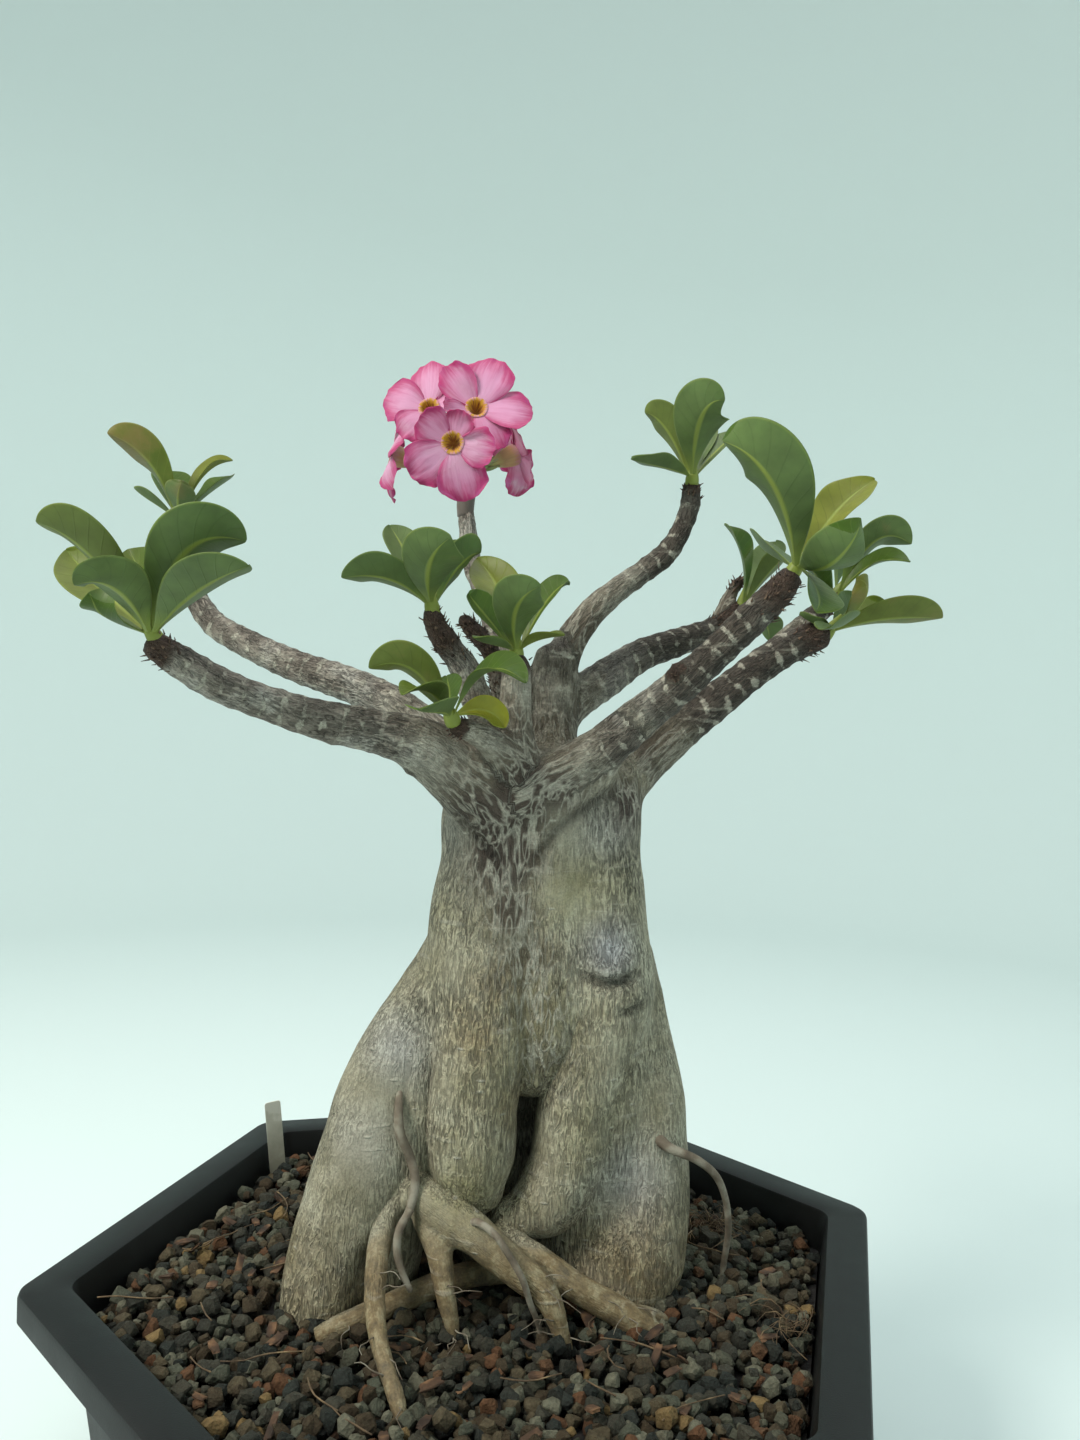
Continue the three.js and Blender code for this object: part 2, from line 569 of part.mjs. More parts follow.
function rosetteSolid({ seat, axis, radius, leaves }, cutters) {
  const centre = vec(seat);
  const way = vec(axis).normalize();
  const shoot = [-8, -2, 3, 7].map((along, i) =>
    [...centre.clone().addScaledVector(way, along).toArray(), radius * [0.8, 0.9, 0.75, 0.4][i]]);
  const blades = leaves.map((leaf) => leafSolid(centre, way, leaf));
  return mainPiece(joined([solid(limb(shoot, 5)), ...blades]).subtract(cutters));
}

// ---- Blooms -------------------------------------------------------------------------------
const PETAL_STEPS = [0, 0.35, 0.75, 1];
const PETAL_WIDTHS = [0.42, 0.84, 1, 0.5];

// Axes of a bloom: out of its mouth, up across its face, and to the right as seen from the front.
function bloomFrame({ mouth, foot }) {
  const out = vec(mouth).sub(vec(foot)).normalize();
  const up = new THREE.Vector3(0, 0, 1).addScaledVector(out, -out.z).normalize();
  return { out, up, right: up.clone().cross(out) };
}

function petalSolid(bloom, [degrees, reach, width, lift], order) {
  const { out, up, right } = bloomFrame(bloom);
  const angle = toRad(degrees);
  const along = up.clone().multiplyScalar(Math.cos(angle)).addScaledVector(right, Math.sin(angle));
  const sideways = out.clone().cross(along);
  const start = THROAT.radius + 0.3;
  const rows = PETAL_STEPS.map((t, i) => [-1, 0, 1].map((s) => {
    const half = (width / 2) * PETAL_WIDTHS[i];
    const wave = PETAL.wave * t * (s === 0 ? 0.6 : -s) * Math.sin(2.2 * i + order);
    const rise = lift * t * t + 1.5 * Math.sin(Math.PI * t) + wave - s * PETAL.overlap * Math.sin(Math.PI * Math.min(t, 0.6));
    const tipPull = s === 0 ? 1 : 0.94;
    const point = vec(bloom.mouth).addScaledVector(along, between(start, reach, t) * tipPull)
      .addScaledVector(sideways, s * half).addScaledVector(out, rise);
    return [point, out];
  }));
  return solid(blade(rows, PETAL.thickness));
}

// A round funnel about the bloom's axis: outer line then inner line of [distance before the mouth, radius].
function funnel(bloom, line) {
  const { out } = bloomFrame(bloom);
  const profile = line.map(([z, r]) => new THREE.Vector2(Math.max(r, 0), z));
  const geometry = new THREE.LatheGeometry(profile, 9);
  geometry.applyQuaternion(new THREE.Quaternion().setFromUnitVectors(new THREE.Vector3(0, 1, 0), out));
  geometry.translate(...bloom.mouth);
  return solid(geometry);
}

function bloomSolid(bloom) {
  const length = vec(bloom.mouth).distanceTo(vec(bloom.foot));
  const { radius, depth, wall } = THROAT;
  const tube = funnel(bloom, [
    [-length, 0], [-length, 2.2], [-0.75 * length, 3], [-depth, 5.6], [0, radius + 1.2], [1.2, radius + 0.8],
    [0, radius], [-depth + wall, 3.4], [-depth + wall, 0],
  ]);
  return mainPiece(joined([tube, ...bloom.petals.map((petal, i) => petalSolid(bloom, petal, i))]));
}

function throatSolid(bloom) {
  const { radius, depth, wall } = THROAT;
  const low = -depth + wall + GAP;
  return funnel(bloom, [
    [low, 0], [low, 3.4 - GAP], [-0.2, radius - GAP], [-0.2, radius - GAP - wall], [low + wall, 2], [low + wall, 0],
  ]);
}

function stalksSolid(cutters) {
  const foot = vec(STALK_FOOT);
  const stalks = Object.values(BLOOMS).map((bloom) => {
    const top = vec(bloom.foot);
    const { out } = bloomFrame(bloom);
    const calyx = top.clone().addScaledVector(out, -6);
    const bend = foot.clone().lerp(calyx, 0.5).add(new THREE.Vector3(0, 0, 3));
    return solid(limb([
      [...foot.toArray(), 1.8], [...bend.toArray(), 1.5], [...calyx.toArray(), 2.2],
      [...top.clone().addScaledVector(out, -1.8 - GAP).toArray(), 3],
    ], 6));
  });
  const knob = solid(limb([[-26, 74, 626, 5], [-26, 74, 633, 5], [-26, 74, 638, 2.5]], 8));
  return mainPiece(joined([knob, ...stalks]).subtract(cutters));
}

// ---- Plant label --------------------------------------------------------------------------
function labelGeometry(grow = 0) {
  const { width, thickness, length, top, lean, turn } = LABEL;
  const geometry = new THREE.BoxGeometry(width + 2 * grow, thickness + 2 * grow, length + 2 * grow);
  geometry.translate(0, 0, -length / 2);
  geometry.rotateY(toRad(lean));
  geometry.rotateZ(toRad(turn));
  geometry.translate(...top);
  return geometry;
}

// ---- The whole object ---------------------------------------------------------------------
const plant = new THREE.Group();
const add = (name, body, material) => plant.add(node(name, geometryFrom(body), material));

const clearOfPlant = plantSolid(GAP);
add('pot', potSolid(), FINISH.pot);
add('gravel', gravelSolid(joined([clearOfPlant, solid(labelGeometry(GAP))])), FINISH.gravel);
add('caudex', mainPiece(plantSolid()), FINISH.bark);
for (const [name, rosette] of Object.entries(ROSETTES)) {
  add(name, rosetteSolid(rosette, clearOfPlant), FINISH.leaf);
}
for (const [name, bloom] of Object.entries(BLOOMS)) {
  add(name, bloomSolid(bloom), FINISH.petal);
  add(name.replace('bloom', 'throat'), throatSolid(bloom), FINISH.throat);
}
add('flower_stalks', stalksSolid(clearOfPlant), FINISH.stalk);
plant.add(node('plant_label', labelGeometry(), FINISH.label));

export default plant;
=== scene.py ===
"""A desert rose in its hexagonal pot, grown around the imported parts.

Everything is in metres, +Z up, with the origin in the middle of the pot's underside.
The tables of the plant are in millimetres.
"""

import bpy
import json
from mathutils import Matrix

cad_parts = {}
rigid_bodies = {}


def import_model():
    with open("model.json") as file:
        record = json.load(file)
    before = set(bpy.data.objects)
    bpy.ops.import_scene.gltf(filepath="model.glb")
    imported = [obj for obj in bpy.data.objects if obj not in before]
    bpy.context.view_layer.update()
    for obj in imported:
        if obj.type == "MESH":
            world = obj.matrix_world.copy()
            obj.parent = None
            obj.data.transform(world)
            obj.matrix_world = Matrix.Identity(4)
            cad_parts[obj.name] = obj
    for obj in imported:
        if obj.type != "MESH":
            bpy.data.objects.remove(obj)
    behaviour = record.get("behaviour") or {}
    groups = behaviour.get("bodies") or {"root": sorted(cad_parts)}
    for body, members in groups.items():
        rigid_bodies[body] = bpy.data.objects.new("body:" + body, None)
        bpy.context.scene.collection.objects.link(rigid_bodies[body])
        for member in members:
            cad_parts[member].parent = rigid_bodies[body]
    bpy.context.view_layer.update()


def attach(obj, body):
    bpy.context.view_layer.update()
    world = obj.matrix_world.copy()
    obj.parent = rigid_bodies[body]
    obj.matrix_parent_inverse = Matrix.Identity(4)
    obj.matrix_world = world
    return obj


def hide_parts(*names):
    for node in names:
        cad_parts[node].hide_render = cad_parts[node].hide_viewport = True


bl_info = {
    "name": "Potted desert rose",
    "version": (1, 0, 0),
    "blender": (4, 5, 0),
    "location": "3D View > Sidebar > Desert rose",
    "description": "Grows a desert rose with its leaves, blooms, gravel and pot",
    "category": "Add Mesh",
}
import functools
import json
import math
import random

import bmesh
import bpy
import numpy as np
from bpy.props import FloatProperty, FloatVectorProperty, IntProperty, PointerProperty
from mathutils import Matrix, Vector, noise

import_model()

MM = 0.001
UP = Vector((0, 0, 1))


def srgb(code):
    """Linear colour of an sRGB hex code."""
    channels = [int(code[i:i + 2], 16) / 255 for i in (0, 2, 4)]
    linear = [c / 12.92 if c <= 0.04045 else ((c + 0.055) / 1.055) ** 2.4 for c in channels]
    return (*linear, 1.0)


# ---- The plant's tables, in millimetres ---------------------------------------------------
# Limbs are [x, y, z, radius] from their root outwards, or from the top down on the trunk.
TRUNK = {
    "frontColumn": [[8, 8, 462, 18], [4, 7, 438, 33], [4, 4, 402, 35], [0, -2, 361, 37],
                    [-1, -10, 321, 34], [-4, -11, 290, 28], [-6, -8, 262, 22],
                    [-8, -6, 236, 16]],
    "rightColumn": [[56, 14, 466, 16], [60, 12, 444, 28], [62, 10, 403, 30], [66, 6, 361, 31],
                    [69, 0, 320, 31], [68, 2, 292, 26], [64, 4, 262, 20]],
    "saddle": [[32, 12, 468, 18], [32, 8, 444, 32], [33, 6, 400, 33], [34, 4, 361, 33],
               [34, -2, 320, 32], [30, -8, 292, 27], [25, -16, 276, 17]],
    "leftLeg": [[-12, 10, 346, 27], [-31, 2, 311, 29], [-50, -6, 283, 28], [-61, -12, 261, 27],
                [-66, -18, 233, 30], [-74, -24, 206, 29], [-83, -30, 181, 26],
                [-88, -35, 158, 25], [-88, -36, 126, 22]],
    "leftFold": [[-34, -8, 322, 16], [-37, -16, 292, 17], [-39, -20, 262, 16],
                 [-40, -24, 238, 14], [-42, -28, 216, 11]],
    "leftHeel": [[-52, -8, 262, 22], [-48, -10, 228, 24], [-50, -14, 200, 23],
                 [-55, -16, 180, 23], [-58, -16, 160, 22], [-58, -16, 126, 18]],
    "rightLeg": [[76, 16, 347, 25], [89, 14, 298, 24], [94, 12, 262, 28], [96, 9, 226, 29],
                 [96, 6, 196, 31], [88, 3, 172, 37], [82, 2, 150, 36], [83, 2, 122, 28]],
    "rightFold": [[74, 4, 300, 24], [73, -2, 268, 24], [72, -4, 240, 22], [68, -4, 214, 22],
                  [62, -2, 192, 22], [58, 0, 170, 20], [56, 2, 126, 16]],
    "core": [[30, 34, 470, 18], [30, 38, 446, 32], [30, 46, 400, 38], [30, 50, 350, 42],
             [28, 50, 300, 46], [24, 46, 250, 44], [20, 42, 200, 42], [18, 40, 122, 36]],
    "backLeftLeg": [[16, 44, 410, 26], [0, 48, 345, 33], [-28, 52, 290, 35], [-44, 54, 240, 34],
                    [-50, 52, 195, 34], [-52, 50, 160, 30], [-52, 50, 122, 24]],
    "backRightLeg": [[46, 42, 420, 26], [56, 50, 355, 32], [74, 58, 300, 33], [86, 66, 250, 34],
                     [90, 72, 205, 36], [88, 74, 165, 34], [86, 74, 122, 26]],
    "backLeg": [[30, 56, 380, 24], [26, 74, 310, 26], [22, 88, 250, 29], [18, 98, 195, 29],
                [16, 100, 155, 23], [16, 100, 122, 16]],
}
# The rounded ends of the front and right columns, which hang over the legs and each other.
LOBE = {"lobe": [[-1, -6, 345, 26], [-1, -10, 322, 33], [-4, -16, 290, 31], [-7, -20, 262, 28],
                 [-7, -22, 240, 27.5], [-5, -24, 222, 24], [-1, -25, 210, 16]]}
FOOT = {"foot": [[66, 4, 345, 22], [68, 0, 322, 29.5], [64, -6, 290, 28], [55, -12, 262, 24.5],
                 [53, -14, 238, 24], [48, -16, 221, 22.5], [38, -18, 207, 22],
                 [23, -22, 200, 15], [10, -24, 199, 9]]}
ROOTS = {
    "longRoot": [[-47, -30, 220, 9], [-54, -50, 196, 7], [-52, -80, 179, 6],
                 [-45, -104, 167, 5], [-33, -127, 154, 4], [-29, -133, 144, 3]],
    "stoutRoot": [[-46, -24, 220, 14], [-21, -42, 211, 12], [2, -50, 198, 11],
                  [24, -58, 185, 9.5], [38, -62, 175, 8], [46, -66, 161, 6], [50, -68, 146, 5]],
    "stoutFork": [[-30, -38, 206, 9], [-20, -54, 189, 7], [-16, -62, 173, 6],
                  [-11, -66, 154, 4], [-10, -67, 144, 3]],
    "sideRoot": [[8, -30, 194, 9], [35, -43, 183, 8.5], [58, -48, 170, 8.5],
                 [78, -49, 160, 9], [92, -50, 152, 8], [104, -50, 146, 5]],
    "rootSplay": [[84, -48, 156, 7], [97, -40, 151, 6], [108, -34, 145, 4]],
    "lyingRoot": [[-86, -67, 150, 6], [-63, -58, 157, 7], [-43, -44, 159, 7],
                  [-24, -34, 163, 7], [1, -22, 165, 8], [30, -10, 161, 8]],
}
# Roots too thin for the skin's grid, which stay tubes of their own.
THIN_ROOTS = {
    "creepingRoot": [[-48, -28, 277, 1.6], [-47, -38, 268, 2.4], [-45, -43, 254, 2.8],
                     [-40, -43, 240, 2.6], [-36, -45, 228, 2.6], [-37, -49, 216, 2.4],
                     [-43, -51, 204, 2]],
    "windingRoot": [[-38, -50, 214, 2.2], [-43, -56, 204, 2.4], [-44, -58, 194, 2.2],
                    [-40, -60, 184, 2], [-36, -61, 174, 1.6]],
    "archedRoot": [[-8, -48, 204, 2.2], [2, -59, 211, 2.2], [11, -65, 208, 2],
                   [19, -69, 198, 2], [25, -70, 188, 1.9], [31, -68, 172, 1.7],
                   [35, -64, 158, 1.6], [38, -62, 144, 1.3]],
    "looseRoot": [[96, -4, 248, 5], [109, -19, 240, 3.2], [124, -20, 234, 2.6],
                  [137, -16, 224, 2.3], [145, -10, 206, 2.1], [148, -4, 188, 2],
                  [147, 6, 156, 1.8], [147, 7, 144, 1.6]],
}
BRANCHES = {
    "frontLeft": [[4, -12, 436, 25], [-23, -30, 459, 20], [-37, -38, 471, 17],
                  [-62, -46, 479, 13], [-88, -54, 484, 12], [-119, -64, 493, 10],
                  [-147, -72, 504, 10], [-168, -78, 517, 9], [-177, -82, 523, 8]],
    "backLeft": [[-1, 18, 448, 22], [-35, 30, 472, 15], [-62, 40, 492, 13], [-96, 52, 507, 12],
                 [-132, 64, 518, 11], [-169, 76, 533, 10], [-199, 86, 550, 9],
                 [-213, 92, 569, 8], [-224, 96, 591, 7], [-226, 98, 615, 6]],
    "innerLeft": [[16, -4, 450, 18], [4, -14, 482, 12], [-6, -18, 492, 10], [-18, -26, 519, 9],
                  [-26, -30, 529, 8], [-34, -34, 542, 7], [-36, -36, 548, 6]],
    "darkStub": [[14, 18, 474, 10], [3, 14, 506, 7], [-2, 14, 526, 6], [-14, 16, 541, 6],
                 [-22, 18, 549, 5]],
    "flowering": [[22, 30, 446, 19], [15, 42, 481, 14], [0, 56, 533, 10], [-10, 66, 567, 8],
                  [-17, 70, 581, 7], [-21, 72, 593, 7], [-24, 74, 613, 6.5], [-26, 74, 628, 6]],
    "centreFront": [[18, -14, 450, 15], [14, -28, 484, 10], [13, -32, 511, 9], [13, -34, 522, 8]],
    "shortFront": [[14, -14, 450, 16], [5, -40, 472, 9.5], [-7, -54, 480, 7.5],
                   [-19, -64, 484, 5.5]],
    "cutCentre": [[33, 20, 448, 23], [34, 30, 488, 17], [35, 34, 513, 16], [37, 38, 532, 14]],
    "tallRight": [[36, 36, 518, 13], [48, 40, 543, 10], [64, 42, 563, 9], [89, 46, 583, 8],
                  [107, 48, 598, 8], [116, 50, 613, 7], [121, 51, 629, 7], [122, 52, 643, 6]],
    "backRight": [[28, 26, 456, 22], [40, 40, 492, 15], [69, 60, 515, 13], [97, 76, 534, 11],
                  [124, 88, 544, 10], [150, 100, 556, 8], [164, 107, 567, 7]],
    "backTwig": [[146, 98, 554, 6], [160, 112, 580, 5], [167, 118, 591, 4]],
    "crownFold": [[0, -18, 436, 16], [16, -21, 442, 15], [38, -19, 456, 15],
                  [63, -17, 471, 14], [84, -22, 489, 12]],
    "frontRight": [[48, -2, 440, 23], [63, -12, 468, 15], [88, -24, 493, 12],
                   [107, -34, 510, 11], [127, -42, 530, 10], [146, -50, 550, 10],
                   [157, -54, 562, 9], [163, -57, 570, 8]],
    "frontScar": [[106, -33, 508, 7], [103, -44, 519, 5]],
    "lowRight": [[67, 14, 440, 22], [90, 18, 461, 15], [117, 22, 486, 13], [139, 24, 504, 12],
                 [162, 26, 523, 11], [186, 28, 539, 11], [203, 30, 546, 10]],
    "farRight": [[152, 26, 515, 10], [172, 44, 530, 9], [190, 60, 546, 8], [210, 74, 562, 8],
                 [223, 83, 573, 7]],
    "underNub": [[-36, -34, 468, 9], [-46, -41, 457, 4]],
}
HAIRS_PER_ROOT = 7
# How far back from each end the dry brown leaf bases reach, and how many stand on each mm.
SCALES_PER_MM = 2.4
SCALY_ENDS = {
    "frontLeft": 16, "backLeft": 12, "innerLeft": 34, "darkStub": 60, "centreFront": 8,
    "shortFront": 7, "tallRight": 10, "backRight": 26, "backTwig": 16, "frontRight": 26,
    "frontScar": 6, "lowRight": 20, "farRight": 16,
}

# Leafy tips: each leaf is [tip, halfway point of its midrib, width, side that its upper face
# looks to or None, share of its upper end that is flushed brown, how yellow it is].
ROSETTES = {
    "leaves_front_left": {
        "seat": [-177, -84, 529], "axis": [-0.5, -0.3, 0.8],
        "leaves": [
            [[-227, -110, 582], [-203, -100, 572], 42, [0.3, 0.5, 0.8], 0, 0.3],
            [[-240, -46, 577], [-217, -60, 558], 34, None, 0, 0.4],
            [[-196, -136, 548], [-183, -122, 553], 42, [0, 0.35, 0.9], 0, 0],
            [[-204, -100, 548], [-197, -92, 539], 26, None, 0, 0],
            [[-123, -104, 576], [-152, -110, 572], 44, [-0.3, 0.6, 0.7], 0, 0],
            [[-112, -140, 559], [-141, -120, 553], 38, [-0.5, 0.5, 0.7], 0, 0],
            [[-215, -20, 582], [-196, -50, 557], 38, None, 0, 0.2],
        ],
    },
    "leaves_back_left": {
        "seat": [-226, 98, 621], "axis": [0, 0.05, 1],
        "leaves": [
            [[-271, 84, 675], [-241, 86, 659], 36, [0.6, 0.7, 0.4], 0.6, 0.3],
            [[-191, 104, 663], [-210, 98, 654], 26, [-0.5, -0.5, 0.7], 0, 0.6],
            [[-198, 128, 657], [-208, 112, 646], 26, None, 0, 0],
            [[-215, 70, 641], [-219, 78, 632], 24, [0, 0.9, 0.3], 0.5, 0],
            [[-255, 92, 640], [-242, 94, 633], 22, None, 0, 0],
            [[-247, 140, 662], [-239, 122, 648], 32, None, 0, 0],
        ],
    },
    "leaves_inner_left": {
        "seat": [-36, -36, 553], "axis": [-0.2, -0.1, 1],
        "leaves": [
            [[-83, -60, 564], [-60, -52, 568], 32, [0.1, 0.5, 0.8], 0, 0],
            [[-65, -6, 602], [-52, -20, 584], 26, None, 0, 0],
            [[-22, -78, 585], [-35, -62, 574], 38, [-0.1, 0.8, 0.5], 0, 0],
            [[-10, -20, 585], [-21, -28, 580], 28, [-0.5, 0.5, 0.6], 0, 0],
            [[-34, 20, 597], [-34, -4, 582], 30, None, 0, 0],
        ],
    },
    "leaves_centre": {
        "seat": [13, -34, 528], "axis": [0, -0.1, 1],
        "leaves": [
            [[-15, -36, 560], [-6, -36, 551], 24, [0.6, -0.6, 0.5], 0, 0],
            [[-14, 12, 586], [2, -8, 565], 32, [0.1, -0.8, 0.5], 0, 0.5],
            [[26, -74, 561], [13, -62, 551], 32, [0, 0.7, 0.6], 0, 0],
            [[43, -18, 569], [30, -24, 562], 28, [-0.6, -0.5, 0.6], 0, 0],
            [[-10, -62, 533], [0, -52, 532], 18, None, 0, 0],
            [[40, -54, 536], [27, -46, 536], 18, None, 0, 0.4],
        ],
    },
    "leaves_short_front": {
        "seat": [-21, -67, 490], "axis": [-0.3, -0.5, 0.8],
        "leaves": [
            [[-63, -84, 514], [-41, -78, 517], 28, [0.2, 0.6, 0.7], 0.25, 0.4],
            [[20, -92, 508], [-1, -84, 517], 32, [0, -0.4, 0.9], 0, 0],
            [[-42, -110, 500], [-31, -94, 505], 24, None, 0, 0.2],
            [[-32, -124, 493], [-25, -102, 495], 30, None, 0, 0],
            [[-26, -40, 512], [-24, -52, 504], 20, None, 0, 0],
            [[8, -52, 484], [-2, -58, 494], 20, [0, -0.8, 0.6], 0, 1],
        ],
    },
    "leaves_tall_right": {
        "seat": [122, 50, 648], "axis": [0.05, 0, 1],
        "leaves": [
            [[90, 50, 689], [105, 48, 680], 28, [0.5, 0.5, 0.6], 0, 0.3],
            [[135, 8, 686], [122, 20, 679], 40, [0, 0.9, 0.4], 0, 0],
            [[80, 22, 652], [101, 36, 653], 24, [0.2, 0.3, 0.9], 0, 0],
            [[155, 84, 687], [140, 70, 673], 30, None, 0, 0],
            [[134, 110, 701], [128, 84, 680], 34, None, 0, 0],
        ],
    },
    "leaves_front_right": {
        "seat": [166, -57, 576], "axis": [0.5, -0.2, 0.8],
        "leaves": [
            [[119, -84, 638], [146, -92, 618], 46, [0.65, 0.5, 0.5], 0, 0],
            [[216, -30, 631], [191, -44, 613], 30, [-0.4, -0.7, 0.5], 0, 0.7],
            [[187, -104, 595], [175, -96, 576], 34, [0.1, 0.6, 0.8], 0, 0],
            [[212, 10, 613], [192, -18, 600], 28, None, 0, 0],
            [[164, -110, 547], [172, -88, 561], 26, None, 0, 0],
            [[158, 8, 602], [160, -20, 592], 30, None, 0, 0],
        ],
    },
    "leaves_back_right": {
        "seat": [167, 108, 573], "axis": [0.2, 0.1, 1],
        "leaves": [
            [[151, 96, 626], [165, 92, 607], 30, [0.7, -0.5, 0.4], 0, 0],
            [[193, 92, 605], [184, 98, 598], 24, [-0.3, 0.5, 0.8], 0, 0.2],
            [[193, 140, 550], [188, 128, 565], 24, None, 0, 0],
            [[196, 140, 622], [186, 126, 606], 26, None, 0, 0],
        ],
    },
    "leaves_far_right": {
        "seat": [226, 85, 578], "axis": [0.5, 0.3, 0.8],
        "leaves": [
            [[273, 74, 612], [249, 78, 617], 32, [-0.2, 0.6, 0.8], 0.2, 0],
            [[268, 60, 598], [247, 70, 600], 24, [0, -0.5, 0.8], 0, 0],
            [[238, 116, 622], [232, 102, 606], 28, None, 0, 0],
            [[200, 62, 603], [209, 70, 592], 24, None, 0, 0],
        ],
    },
    "leaves_low_right": {
        "seat": [208, 30, 549], "axis": [0.6, 0, 0.8],
        "leaves": [
            [[215, 0, 578], [220, 5, 568], 26, [-0.7, 0.3, 0.5], 0.5, 0.6],
            [[271, 8, 557], [241, 10, 559], 32, [0, 0.5, 0.85], 0.35, 0.4],
            [[192, -30, 546], [204, -6, 552], 30, [0, 0.6, 0.8], 0, 0],
            [[186, 18, 558], [198, 20, 554], 20, None, 0, 0],
            [[249, 50, 571], [238, 42, 562], 24, None, 0, 0.3],
            [[240, 76, 575], [228, 54, 566], 28, None, 0, 0],
        ],
    },
}

# Blooms: mouth of the throat, foot of the tube, and for each petal
# [degrees clockwise from up, reach from the throat's centre, width, lift of its end].
BLOOMS = {
    "bloom_left": {
        "mouth": [-50, 56, 689], "foot": [-45, 80, 681],
        "petals": [[-5, 35, 26, 0], [-73, 33, 28, 0], [-140, 26, 22, 1], [152, 26, 20, -6],
                   [70, 27, 20, -6]],
    },
    "bloom_right": {
        "mouth": [-18, 38, 685], "foot": [-21, 66, 677],
        "petals": [[20, 37, 30, 1], [-36, 34, 22, 3], [92, 36, 28, 1], [152, 32, 24, 0],
                   [-112, 22, 16, 10]],
    },
    "bloom_front": {
        "mouth": [-31, 20, 658], "foot": [-29, 50, 663],
        "petals": [[-54, 25, 24, 5], [-128, 33, 28, 3], [164, 36, 29, 1], [100, 27, 24, 5],
                   [22, 20, 18, 8]],
    },
    "bloom_side": {
        "mouth": [-77, 82, 664], "foot": [-52, 86, 657],
        "petals": [[0, 26, 22, -6], [72, 27, 22, -6], [144, 28, 22, -6], [-144, 32, 20, -9],
                   [-72, 26, 22, -6]],
    },
    "bloom_rear": {
        "mouth": [6, 88, 668], "foot": [-12, 80, 658],
        "petals": [[10, 26, 24, -4], [82, 26, 24, -4], [154, 28, 25, -6], [-134, 27, 24, -4],
                   [-62, 26, 24, -4]],
    },
}
STALK_FOOT = [-26, 74, 632]


# ---- Sizes and colours a user may change --------------------------------------------------
def length(name, description, millimetres):
    """A length setting whose default is in millimetres."""
    return FloatProperty(name=name, description=description, default=millimetres * MM,
                         min=0, unit="LENGTH", subtype="DISTANCE", precision=5)


def colour(name, description, code):
    """A colour setting whose default is an sRGB hex code."""
    return FloatVectorProperty(name=name, description=description, default=srgb(code),
                               min=0, max=1, size=4, subtype="COLOR")


class DesertRoseSizes(bpy.types.PropertyGroup):
    """Sizes of the plant, the gravel and the pot."""
    skin_grid: length("Skin grid", "Edge of the quads that the bark is made of", 2.65)
    ring_spacing: length("Scar spacing", "From one row of leaf scars to the next", 11)
    leaf_thickness: length("Leaf thickness", "Thickness of a leaf blade", 0.9)
    petal_thickness: length("Petal thickness", "Thickness of a petal", 0.5)
    throat_radius: length("Throat radius", "Radius of a bloom's throat at its mouth", 6.2)
    gravel_level: length("Gravel level", "Mean height of the gravel over the underside", 152)
    gravel_bed: length("Gravel bed", "Height of the grit under the stones", 145)
    stone_largest: length("Largest stone", "Length of the largest stones", 11)
    stone_smallest: length("Smallest stone", "Length of the smallest stones", 4.5)
    stones: IntProperty(name="Stones", description="Number of stones on the bed",
                        default=5200, min=0)
    seed: IntProperty(name="Seed", description="Start of every random draw", default=20611)


class DesertRoseColours(bpy.types.PropertyGroup):
    """Colours of the plant, the gravel, the pot and the stage."""
    bark_olive: colour("Bark, olive", "Smooth bark of the swollen trunk", "918B77")
    bark_green: colour("Bark, green", "Greener bark down the middle", "827B55")
    bark_brown: colour("Bark, brown", "Rough bark of the neck and the branch bases", "453A34")
    branch_brown: colour("Branch, brown", "Younger bark of the branches", "7B746A")
    scar_pale: colour("Leaf scar", "Pale scars and raised lines", "BDB8A8")
    scale_brown: colour("Dry scales", "Dry leaf bases at the branch ends", "2A221D")
    root_ochre: colour("Root, ochre", "Thin and lying roots", "74695A")
    leaf_upper: colour("Leaf, upper face", "Glossy upper face", "3D5417")
    leaf_under: colour("Leaf, under face", "Paler under face", "56683A")
    leaf_rib: colour("Leaf, midrib", "Midrib, rim and stalk of a leaf", "848F42")
    leaf_yellow: colour("Leaf, yellow", "Older, yellower leaf", "77781F")
    leaf_flush: colour("Leaf, flushed", "Sunburnt brown flush", "7A5740")
    petal_pale: colour("Petal, heart", "Pale heart of a petal", "CF90B2")
    petal_deep: colour("Petal, edge", "Deep edge of a petal", "A92A66")
    throat_yellow: colour("Throat", "Yellow of the throat", "BC8A14")
    throat_red: colour("Throat lines", "Red-brown lines in the throat", "7A3212")
    stalk_green: colour("Flower stalk", "Green of stalks and calyxes", "7F9658")
    pot_black: colour("Pot", "Black plastic of the pot", "0C0D0D")
    stone_grey: colour("Stone, grey", "Grey pumice", "4A4C40")
    stone_dark: colour("Stone, dark", "Dark lava", "292C28")
    stone_brown: colour("Stone, brown", "Brown baked clay", "3C3326")
    stone_orange: colour("Stone, orange", "Orange baked clay", "583E2B")
    straw: colour("Straw", "Dry grass and fibres", "A18A66")
    label_white: colour("Label", "Weathered label plastic", "C9C8BA")
    backdrop: colour("Stage", "Pale floor and backdrop", "DFECEA")


def sizes():
    """The sizes as the user has set them."""
    return bpy.context.scene.desert_rose_sizes


def colours():
    """The colours as the user has set them."""
    return bpy.context.scene.desert_rose_colours


# ---- Mesh helpers -------------------------------------------------------------------------
def as_mesh(bm, name):
    """The bmesh as a mesh; the bmesh goes."""
    mesh = bpy.data.meshes.new(name)
    bm.to_mesh(mesh)
    bm.free()
    return mesh


def joined(meshes):
    """One bmesh from many meshes, which go."""
    bm = bmesh.new()
    for mesh in meshes:
        bm.from_mesh(mesh)
        bpy.data.meshes.remove(mesh)
    return bm


def only(kind, items):
    """The items of one bmesh type, of all that an operator gives back."""
    return [item for item in items if isinstance(item, kind)]


